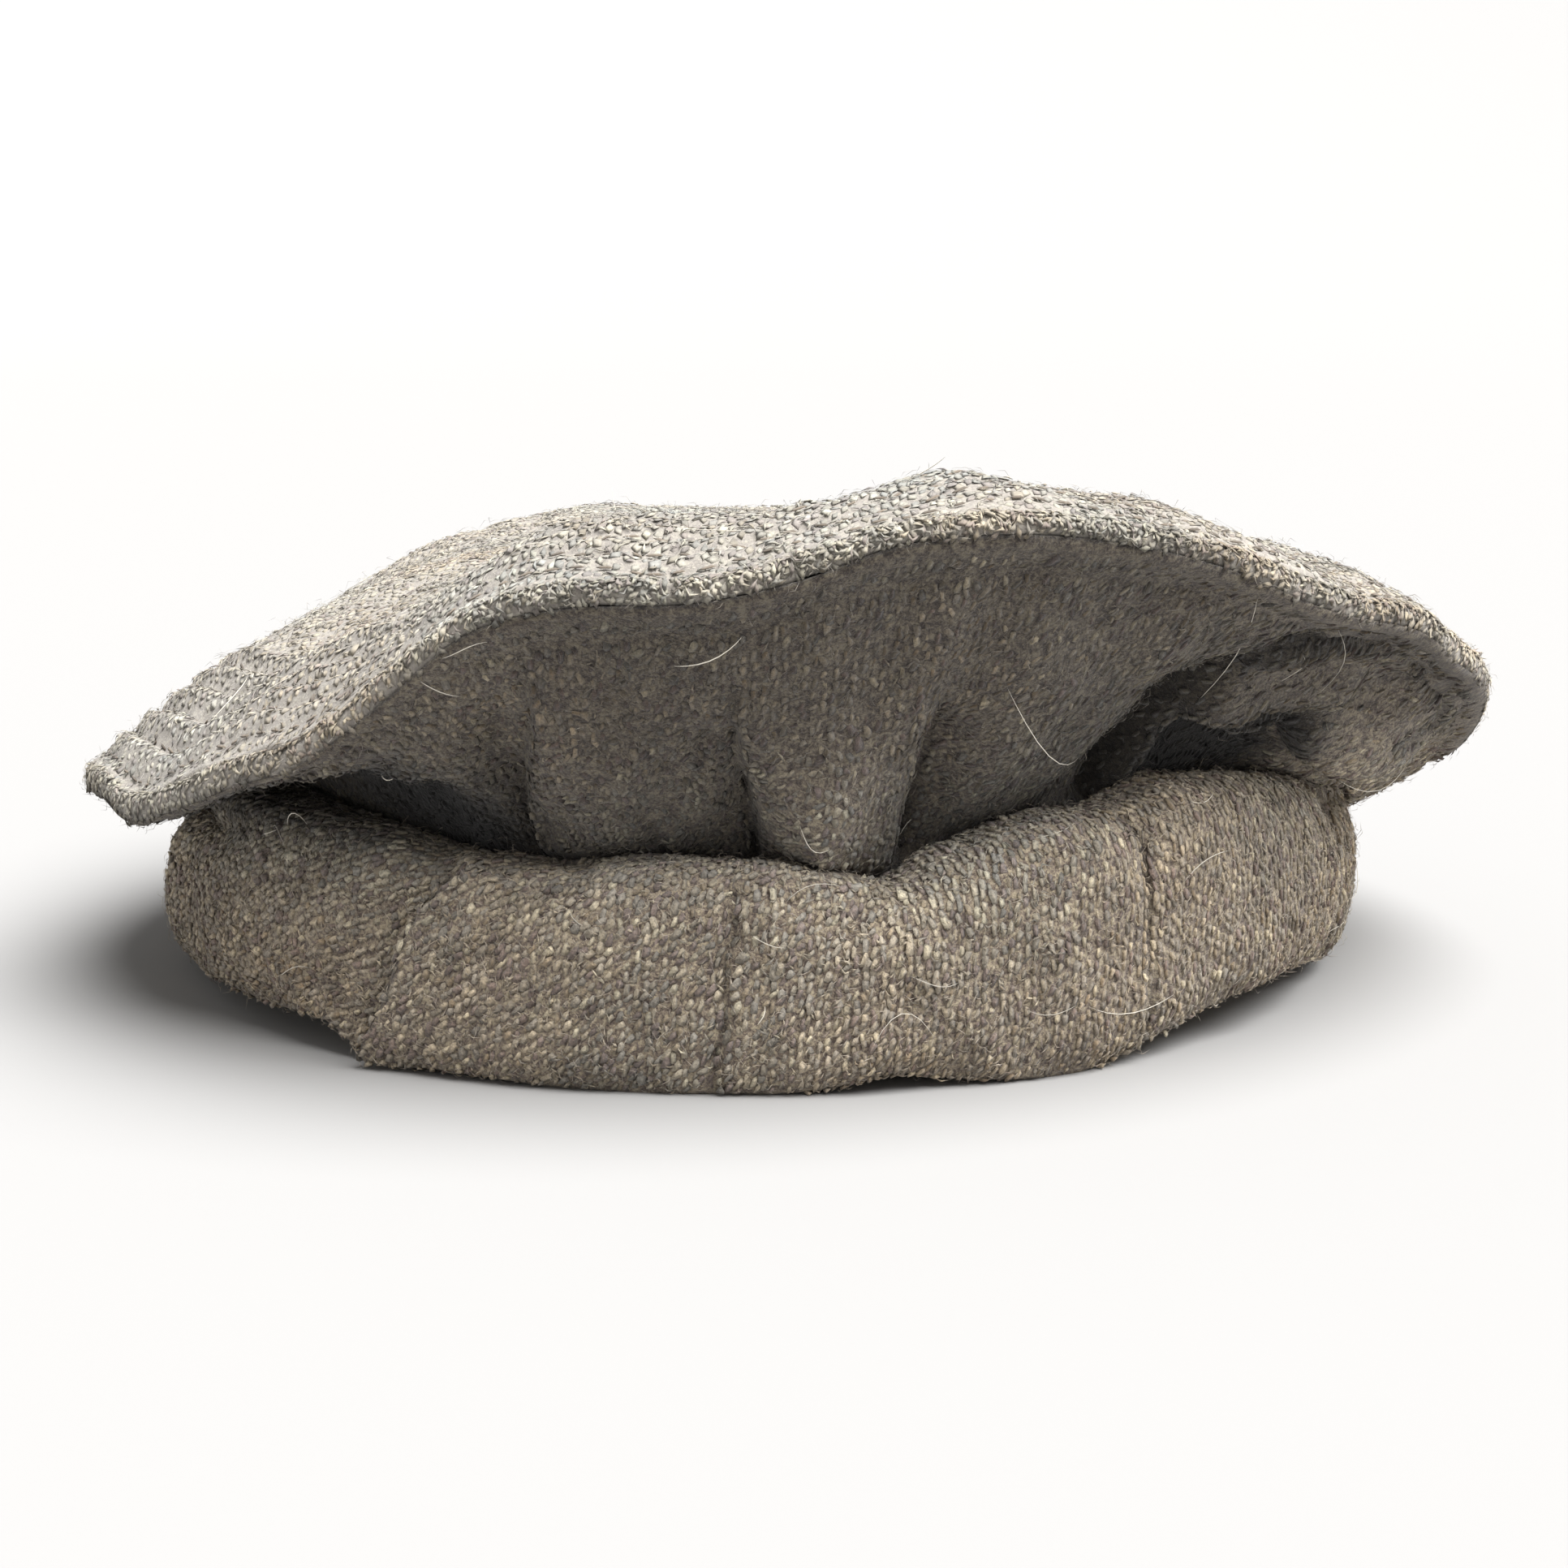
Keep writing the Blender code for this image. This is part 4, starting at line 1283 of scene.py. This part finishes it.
def lay_fuzz(name, cloth, seed, tone, length=FUZZ_LENGTH, rise=0.20):
    """One bent fibre at each sampled point of a cloth. rise is about how steeply it leaves the cloth."""
    points, _, _, shade = cloth
    random = np.random.default_rng(seed)
    count = len(points)
    ahead, aside, normal = headings(random, cloth)
    lengths = length * random.uniform(0.5, 1.5, count)
    heights = lengths * np.minimum(random.gamma(2.0, rise / 2, count), 0.7)
    half = (ahead * lengths[:, None] + normal * (heights * random.uniform(-0.2, 1.2, count))[:, None]) / 2
    bend = normal * (heights * 0.6)[:, None] + aside * (lengths * random.normal(0, 0.18, count))[:, None]
    widths = FUZZ_WIDTH * random.uniform(0.7, 1.25, count)
    colours = np.array([srgb(colour)[:3] for colour in FUZZ_COLOURS])
    tints = tone * colours[random.integers(0, len(FUZZ_COLOURS), count)] * shade[:, None]
    middle = points + normal * FUZZ_LIFT + half
    return strands(name, spindle(3, 1), middle, half, bend, 0 * bend, normal, widths, widths, tints, seed)


def lay_tufts(name, cloth, seed, tone, width=TUFT_WIDTH, rise=0.50 * MM):
    """A short lock at each sampled point of a cloth, up to rise above it."""
    points, _, _, shade = cloth
    random = np.random.default_rng(seed)
    count = len(points)
    ahead, aside, normal = headings(random, cloth)
    lengths = TUFT_LENGTH * random.uniform(0.5, 1.4, count)
    bend = aside * (lengths * random.normal(0, 0.22, count))[:, None] + normal * (0.5 * rise)
    widths = width * random.uniform(0.5, 1.4, count)
    tints = yarn_tints(random, points, 0.16, tone, 0.3) * shade[:, None]
    middle = points + normal * (random.uniform(0.3, 1.0, count) * rise)[:, None]
    return strands(
        name, spindle(3, 1), middle, ahead * (lengths / 2)[:, None], bend, 0 * bend, normal, widths,
        np.minimum(widths * 0.7, rise), tints, seed, unevenness=0.3,
    )


print("fuzz:", sum(FUZZ_COUNTS.values()), "fibres at most, tufts:", sum(TUFT_COUNTS.values()))

# %% [markdown]
# Fibres and tufts lie anywhere, so their places are drawn at random over each cloth. On the roll the ones
# that the wall would cover are left out.

# %% Where the fuzz lies
ROLL_OPEN = (40, 400)
FUZZ_CLEAR = 0.5 * MM


def random_on_roll(seed, count):
    random = np.random.default_rng(seed)
    angle = random.uniform(0, 360, count)
    first, last = ROLL_OPEN
    turn = np.interp(random.uniform(ROLL_ARC[first], ROLL_ARC[last], count), ROLL_ARC, TURN_TABLE)
    shows = wall_gap(angle, turn) > FUZZ_CLEAR
    return sampled(roll_points, roll_shade, angle[shows], turn[shows], *ROLL_STEPS)


def random_on_wall(seed, count):
    random = np.random.default_rng(seed)
    angle, rise = random.uniform(0, 360, count), random.uniform(0.04, 0.96, count)
    return sampled(wall_upward, upward_shade, angle, rise, *WALL_STEPS)


def random_on_crown(seed, count):
    random = np.random.default_rng(seed)
    angle = random.uniform(0, 2 * math.pi, count)
    radius = crown_radius(np.degrees(angle)) * np.sqrt(random.uniform(0, 0.97, count))
    return sampled(
        crown_flat, crown_flat_shade, radius * np.sin(angle), -radius * np.cos(angle), CROWN_STEP, CROWN_STEP,
    )


def on_edge(angle, bend):
    return sampled(edge_points, edge_shade, angle, bend, *EDGE_STEPS)


brim_fuzz = lay_fuzz("brim_fuzz", random_on_roll(61, FUZZ_COUNTS["brim"]), 62, BRIM_TONE)
brim_tufts = lay_tufts("brim_tufts", random_on_roll(63, TUFT_COUNTS["brim"]), 64, BRIM_TONE)
wall_fuzz = lay_fuzz("wall_fuzz", random_on_wall(65, FUZZ_COUNTS["wall"]), 66, WALL_TONE_AND_SHADE)
wall_tufts = lay_tufts("wall_tufts", random_on_wall(67, TUFT_COUNTS["wall"]), 68, WALL_TONE_AND_SHADE)
crown_fuzz = lay_fuzz("crown_fuzz", random_on_crown(69, FUZZ_COUNTS["crown"]), 70, CROWN_TONE)
tufted = random_on_crown(71, TUFT_COUNTS["crown"])
crown_tufts = lay_tufts("crown_tufts", tufted, 72, CROWN_TONE, 0.5 * MM, 0.40 * MM)
tuft_angle = edge_random.normal(12, 32, TUFT_COUNTS["edge"])
tuft_bend = edge_random.uniform(-20, 100, TUFT_COUNTS["edge"])
edge_tufts = lay_tufts("edge_tufts", on_edge(tuft_angle, tuft_bend), 74, EDGE_TONE, 0.8 * MM, 0.4 * MM)
fuzz_angle = edge_random.uniform(0, 360, FUZZ_COUNTS["edge"])
fuzz_bend = edge_random.uniform(-60, 110, FUZZ_COUNTS["edge"])
edge_fuzz = lay_fuzz("edge_fuzz", on_edge(fuzz_angle, fuzz_bend), 73, EDGE_TONE, length=1.8 * MM, rise=0.18)

# %% [markdown]
# A few long stray hairs lie on the cap or stand off it. Each is given by its two ends on the cloth, as
# degrees round and the cloth's own second measure, and by how far it bows sideways and stands up, in
# millimetres. The last measure lifts its far end off the cloth. The back, which is seldom seen, has hairs
# at random places.

# %% Stray hairs
HAIR_COLOUR = "#e6dfd0"
HAIR_WIDTH = 0.20 * MM
HAIR_ROOT = 0.4 * MM
HAIRS = {
    "wall": (
        (-22.5, 0.02, -19.0, 0.05, 0.9, 1.5, 0.5),
        (-24.6, 0.03, -22.8, 0.17, 1.2, 1.0, 0.5),
        (-5.8, 0.17, -0.5, 0.12, 1.4, 1.5, 2.0),
        (37.5, 0.05, 42.5, 0.60, -1.5, 3.0, 1.0),
        (48.5, 0.10, 53.5, 0.36, 0.6, 2.0, 0.5),
        (46.8, 0.22, 49.2, 0.40, 0.8, 1.5, 0.5),
        (57.0, 0.43, 62.0, 0.38, -1.2, 1.0, 0.3),
        (3.8, 0.58, 6.5, 0.60, 1.6, 1.2, 0.3),
        (14.5, 0.90, 17.5, 0.96, -2.0, 1.5, 0.3),
        (20.0, 0.37, 31.8, 0.72, 3.5, 1.0, 0.3),
        (-14.0, 0.30, -9.0, 0.38, -1.6, 0.8, 0.3),
        (66.0, 0.50, 75.0, 0.30, 2.0, 1.0, 0.3),
    ),
    "crown": (
        (-9.0, 0.85, 4.0, 0.95, -1.6, 0.8, 0.3),
        (-20.5, 0.88, -14.5, 0.91, 1.2, 0.8, 0.3),
        (-33.0, 0.95, -27.0, 0.97, 1.0, 0.8, 0.8),
        (13.0, 0.80, 15.5, 0.86, 1.0, 1.0, 3.5),
        (-146.0, 0.42, -149.0, 0.46, 0.6, 1.0, 4.5),
        (40.0, 0.90, 44.0, 0.94, 0.9, 1.0, 3.0),
        (-62.0, 0.80, -55.0, 0.90, -1.5, 1.0, 1.0),
    ),
    "roll": (
        (42.0, 55.0, 45.8, 60.0, 0.9, 1.2, 0.4),
        (25.0, 62.0, 29.8, 68.0, 0.8, 1.2, 0.4),
        (-50.8, 56.0, -47.0, 40.0, -1.2, 2.0, 2.0),
        (-52.0, 70.0, -46.0, 60.0, 2.2, 5.0, 6.0),
        (-49.0, 62.0, -44.0, 74.0, -2.0, 4.0, 5.0),
        (9.5, -27.0, 15.2, -24.0, -6.0, 1.5, 0.4),
        (2.5, 41.0, 7.8, 68.0, -1.5, 0.8, 0.3),
        (12.8, 2.0, 17.2, -1.0, 1.6, 0.8, 0.3),
        (-0.2, 19.0, 2.5, 13.0, 0.5, 0.6, 0.3),
        (0.2, -9.0, 0.8, -3.0, 0.3, 0.6, 0.6),
        (23.5, -12.0, 28.2, -13.0, 1.0, 0.8, 0.3),
        (29.2, -14.0, 39.5, -27.0, 1.6, 0.8, 0.3),
        (-15.8, 34.0, -13.8, 22.0, 0.7, 0.8, 0.3),
        (40.0, 8.0, 46.0, 16.0, -1.4, 0.8, 0.3),
    ),
}
HAIR_PLACES = {"wall": wall_points, "crown": crown_top_points, "roll": roll_points}
HAIR_RANGES = {"wall": (0.1, 0.8, 0.12), "crown": (0.2, 0.97, 0.06), "roll": (-45, 60, 16)}
BACK_ANGLES = (62, 325)
MORE_HAIRS = 70


def back_hairs(cloth):
    """The hairs of one cloth among those strewn over the back and the top."""
    random = np.random.default_rng(71)
    made = []
    for _ in range(MORE_HAIRS):
        chosen = random.choice(["crown", "crown", "wall", "roll"])
        angle = random.uniform(*BACK_ANGLES)
        low, high, run = HAIR_RANGES[chosen]
        place = random.uniform(low, high)
        turn, bow, lift = random.uniform(2, 7), random.normal(0, 1.5), random.uniform(0.5, 1.5)
        other = place + random.uniform(-run, run)
        if chosen == cloth:
            made.append((angle, place, angle + turn, other, bow, lift, lift))
    return tuple(made)


def lay_hairs(cloth, name):
    """The stray hairs of one cloth, as long bent spindles."""
    random = np.random.default_rng(72)
    angle_1, place_1, angle_2, place_2, bow, lift, end_lift = np.array(HAIRS[cloth] + back_hairs(cloth)).T
    place = HAIR_PLACES[cloth]
    start, end = place(angle_1, place_1), place(angle_2, place_2)
    on_cloth = place((angle_1 + angle_2) / 2, (place_1 + place_2) / 2)
    away = unit(on_cloth - np.array([AXIS.x, AXIS.y, ROLL_HEIGHT / 2]))
    if cloth == "crown":
        away = np.tile([0.0, 0.0, 1.0], (len(start), 1))
    sideways = unit(np.cross(end - start, away))
    away = unit(np.cross(sideways, end - start))
    start = start + away * HAIR_ROOT
    end = end + away * (end_lift * MM)[:, None]
    middle = (start + end) / 2
    bend = on_cloth - middle + away * (lift * MM)[:, None] + sideways * (bow * MM)[:, None]
    twist = sideways * (random.normal(0, 0.5, len(start)) * MM)[:, None]
    tints = np.array(srgb(HAIR_COLOUR)[:3]) * random.uniform(0.75, 1.1, len(start))[:, None]
    width = HAIR_WIDTH * random.uniform(0.7, 1.1, len(start))
    return strands(name, spindle(3, 9), middle, (end - start) / 2, bend, twist, away, width, width, tints, 73)


crown_hairs = lay_hairs("crown", "crown_hairs")
wall_hairs = lay_hairs("wall", "wall_hairs")
brim_hairs = lay_hairs("roll", "brim_hairs")

# %% [markdown]
# Wool scatters light among its fibres, so it looks matt, with a faint pale sheen where it is seen edge on.
# The yarns and the fuzz carry their own tints in an attribute. The cloth under them, which shows between
# the floats, inside the cap and below the roll, gets the same wool in darker tones. A fine noise in real
# millimetres breaks every surface up, as fibres do that twist round a yarn.

# %% Wool materials
FIBRE_SIZE = 0.55 * MM
FIBRE_RANGE = (0.36, 0.64)
CELL_SIZE = 1.5 * MM
CELL_WEIGHT = 0.6
GROUND_RANGE = (0.64, 0.96)


def node(tree, kind, settings=None, **links):
    """Adds a node, sets its settings, and links or sets its inputs by name."""
    made = tree.nodes.new(kind)
    for name, value in (settings or {}).items():
        setattr(made, name, value)
    for name, value in links.items():
        key = name.replace("_", " ")
        socket = made.inputs[int(key[5:])] if key.startswith("input") else made.inputs[key]
        if isinstance(value, bpy.types.NodeSocket):
            tree.links.new(value, socket)
        else:
            socket.default_value = value
    return made


def wool_material(name, roughness):
    """A matt wool surface: rough, with the soft sheen that loose fibres give it."""
    material = bpy.data.materials.new(name)
    material.use_nodes = True
    shader = material.node_tree.nodes["Principled BSDF"]
    shader.inputs["Roughness"].default_value = roughness
    shader.inputs["Specular IOR Level"].default_value = 0.2
    shader.inputs["Sheen Weight"].default_value = 0.2
    shader.inputs["Sheen Roughness"].default_value = 0.6
    return material, material.node_tree, shader


def fibre_noise(tree):
    """The place on the piece, and a noise as fine as its fibres."""
    place = node(tree, "ShaderNodeTexCoord").outputs["Object"]
    return place, node(
        tree, "ShaderNodeTexNoise", Vector=place, Scale=1 / FIBRE_SIZE, Detail=3.0, Roughness=0.75,
    ).outputs["Fac"]


def spread_out(tree, value, span, low, high):
    """Stretches the values of a span to run from low to high."""
    return node(
        tree, "ShaderNodeMapRange", Value=value, From_Min=span[0], From_Max=span[1], To_Min=low, To_Max=high,
    ).outputs["Result"]


def finished(tree, shader, colour, kept, bump):
    """Gives the shader a colour, of which a share is kept, and a relief."""
    toned = node(tree, "ShaderNodeVectorMath", {"operation": "SCALE"}, Vector=colour, Scale=kept)
    tree.links.new(toned.outputs["Vector"], shader.inputs["Base Color"])
    tree.links.new(bump.outputs["Normal"], shader.inputs["Normal"])


def yarn_wool(name, dark, light, roughening, evening=0.0):
    """Spun wool yarn: the tint of its float, broken up by the fibres that twist round it. Evening turns the
    light that falls on it towards that of the flat cloth, as fibres do that let light through."""
    material, tree, shader = wool_material(name, 0.92)
    tint = node(tree, "ShaderNodeAttribute", {"attribute_name": "yarn"}).outputs["Color"]
    _, fibres = fibre_noise(tree)
    facing = node(tree, "ShaderNodeNewGeometry").outputs["Normal"]
    raised = node(tree, "ShaderNodeVectorMath", {"operation": "ADD"}, input0=facing, input1=(0, 0, evening))
    even = node(tree, "ShaderNodeVectorMath", {"operation": "NORMALIZE"}, input0=raised.outputs["Vector"])
    bump = node(
        tree, "ShaderNodeBump", Height=fibres, Normal=even.outputs["Vector"], Strength=roughening,
        Distance=0.5 * MM,
    )
    finished(tree, shader, tint, spread_out(tree, fibres, FIBRE_RANGE, dark, light), bump)
    return material


def fibre_wool():
    """Loose wool fibres: paler than the yarn, and too fine for any pattern of their own."""
    material, tree, shader = wool_material("loose wool fibre", 0.8)
    tint = node(tree, "ShaderNodeAttribute", {"attribute_name": "yarn"})
    tree.links.new(tint.outputs["Color"], shader.inputs["Base Color"])
    return material


def cloth_wool(name, tone, colours, roughening):
    """The ground of the woven cloth: matted fibres in the melange of its yarns, a little darker than them."""
    material, tree, shader = wool_material(name, 0.95)
    place, fibres = fibre_noise(tree)
    cells = node(tree, "ShaderNodeTexNoise", Vector=place, Scale=1 / CELL_SIZE, Detail=2.0).outputs["Fac"]
    mixed = node(
        tree, "ShaderNodeMath", {"operation": "MULTIPLY_ADD"}, input0=cells, input1=CELL_WEIGHT,
        input2=fibres,
    ).outputs["Value"]
    ramp = node(tree, "ShaderNodeValToRGB", Fac=spread_out(tree, mixed, GROUND_RANGE, 0.0, 1.0))
    ramp.color_ramp.elements.new(0.5)
    for element, colour in zip(ramp.color_ramp.elements, colours):
        element.color = (*(tone * srgb(colour)[:3]), 1)
    # The shade attribute is painted shade and painted light, with some patches of the wool's own tone on the
    # rounded edge.
    kept = node(tree, "ShaderNodeAttribute", {"attribute_name": "shade"}).outputs["Fac"]
    bump = node(tree, "ShaderNodeBump", Height=mixed, Strength=roughening, Distance=0.6 * MM)
    finished(tree, shader, ramp.outputs["Color"], kept, bump)
    return material


GROUND_COLOURS = ("#4f4540", "#82776a", "#aea48d")
PALE_GROUND_COLOURS = ("#8f867b", "#9c9285", "#aca392")
crown_ground = cloth_wool("woven wool, sun-lit top", CROWN_TONE, PALE_GROUND_COLOURS, 0.6)
brim_ground = cloth_wool("woven wool, rolled", BRIM_TONE, GROUND_COLOURS, 0.9)
wall_ground = cloth_wool("woven wool, felted, with painted shade", WALL_TONE_AND_SHADE, GROUND_COLOURS, 0.9)
yarn = yarn_wool("spun wool yarn", 0.62, 1.32, 0.9)
pale_yarn = yarn_wool("spun wool yarn, bleached by the sun", 0.84, 1.14, 0.5, evening=0.9)
fibre = fibre_wool()
print("materials:", [material.name for material in bpy.data.materials])

# %% [markdown]
# Every piece rides on the cap's one body and takes the material of its row, which also lists the part of the
# frame whose finish it stands for. The three cloths stand for the solids: the crown a disc cut from flat
# cloth, the wall a strip gathered to the head opening, the roll a firmly wound pad.

# %% What each piece stands for
FINISHES = (
    ("crown_wool", crown_ground, (crown, edge_fold)),
    ("crown_wool", pale_yarn, (crown_yarns, crown_stitches, edge_yarns, crown_tufts, edge_tufts)),
    ("crown_wool", fibre, (crown_fuzz, edge_fuzz, crown_hairs)),
    ("wall_wool", wall_ground, (wall,)),
    ("wall_wool", yarn, (wall_yarns, wall_tufts)),
    ("wall_wool", fibre, (wall_fuzz, wall_hairs)),
    ("brim_wool", brim_ground, (roll,)),
    ("brim_wool", yarn, (brim_yarns, brim_tufts)),
    ("brim_wool", fibre, (brim_fuzz, brim_hairs)),
)
PIECES = [(piece, material, slot_name) for slot_name, material, pieces in FINISHES for piece in pieces]
for piece, material, slot_name in PIECES:
    piece.data.materials.append(material)
    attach(piece, "root")
for piece, node_name in ((crown, "crown_top"), (wall, "side_wall"), (roll, "rolled_brim")):
    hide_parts(node_name)
triangles = {piece.name: sum(len(face.vertices) - 2 for face in piece.data.polygons) for piece, *_ in PIECES}
for cloth in (crown, wall):
    print(cloth.name, "area", round(sum(face.area for face in cloth.data.polygons) / 2, 4), "square metres")
print("triangles in all:", sum(triangles.values()), "largest:", max(triangles, key=triangles.get))

# %% [markdown]
# The studio is plain: one pale floor, flat under the cap, that curves up far away on all sides, so that no
# horizon shows from anywhere. It is a line of points spun once round the upright axis.

# %% Floor
FLOOR_FLAT = 2.0
FLOOR_REACH = 7.0
FLOOR_CURVE = 0.10
FLOOR_STEPS = 20
FLOOR_TURNS = 72


def studio_floor():
    """A flat round floor whose outer part curves up like a very wide bowl."""
    mesh = bmesh.new()
    radii = np.concatenate([[0], np.linspace(FLOOR_FLAT, FLOOR_REACH, FLOOR_STEPS + 1)])
    line = [mesh.verts.new((radius, 0, FLOOR_CURVE * max(radius - FLOOR_FLAT, 0) ** 2)) for radius in radii]
    edges = [mesh.edges.new(pair) for pair in zip(line, line[1:])]
    bmesh.ops.spin(
        mesh, geom=line + edges, cent=(0, 0, 0), axis=(0, 0, 1), angle=2 * math.pi, steps=FLOOR_TURNS,
        use_merge=True,
    )
    bmesh.ops.remove_doubles(mesh, verts=mesh.verts, dist=0.001)
    bmesh.ops.recalc_face_normals(mesh, faces=mesh.faces)
    data = bpy.data.meshes.new("floor")
    mesh.to_mesh(data)
    mesh.free()
    data.shade_smooth()
    return placed("floor", data)


floor = studio_floor()
floor_paint = bpy.data.materials.new("pale matt paint")
floor_paint.use_nodes = True
floor_shader = floor_paint.node_tree.nodes["Principled BSDF"]
floor_shader.inputs["Base Color"].default_value = srgb("#a7a6a5")
floor_shader.inputs["Roughness"].default_value = 0.95
floor_shader.inputs["Specular IOR Level"].default_value = 0.0
floor.data.materials.append(floor_paint)
print("the floor reaches", FLOOR_REACH, "m out")

# %% [markdown]
# The camera stands where the photograph's did, 0.7 m away and 10 degrees above level. One broad sun gives
# the soft light from above and a little from behind, and a pale sky fills the shadows.

# %% Camera and lights
PHOTO_PIXELS = 1932
PHOTO_FOCUS = 4290
SENSOR_WIDTH = 36
CAMERA_DISTANCE = 0.700
CAMERA_RISE = math.radians(10)
CAMERA_AIM = Vector((AXIS.x + 0.0049, AXIS.y, 0.0341))
SUN_STRENGTH = 7.8
SUN_BREADTH = 60
SUN_TILT = (14, 23, 0)
SKY_STRENGTH = 0.30

camera_data = bpy.data.cameras.new("camera")
camera_data.sensor_width = SENSOR_WIDTH
camera_data.lens = SENSOR_WIDTH * PHOTO_FOCUS / PHOTO_PIXELS
camera = placed("camera", camera_data)
camera.location = CAMERA_AIM + CAMERA_DISTANCE * Vector((0, -math.cos(CAMERA_RISE), math.sin(CAMERA_RISE)))
camera.rotation_euler = (math.pi / 2 - CAMERA_RISE, 0, 0)
bpy.context.scene.camera = camera

sun_data = bpy.data.lights.new("broad overhead light", "SUN")
sun_data.energy = SUN_STRENGTH
sun_data.angle = math.radians(SUN_BREADTH)
sun = placed("broad overhead light", sun_data)
sun.rotation_euler = [math.radians(tilt) for tilt in SUN_TILT]
world = bpy.data.worlds.new("studio")
world.use_nodes = True
world.node_tree.nodes["Background"].inputs["Color"].default_value = srgb("#ffffff")
world.node_tree.nodes["Background"].inputs["Strength"].default_value = SKY_STRENGTH
bpy.context.scene.world = world
bpy.context.scene.view_settings.view_transform = "Standard"
print("camera", round(CAMERA_DISTANCE, 2), "m away, lens", round(camera_data.lens, 1), "mm")
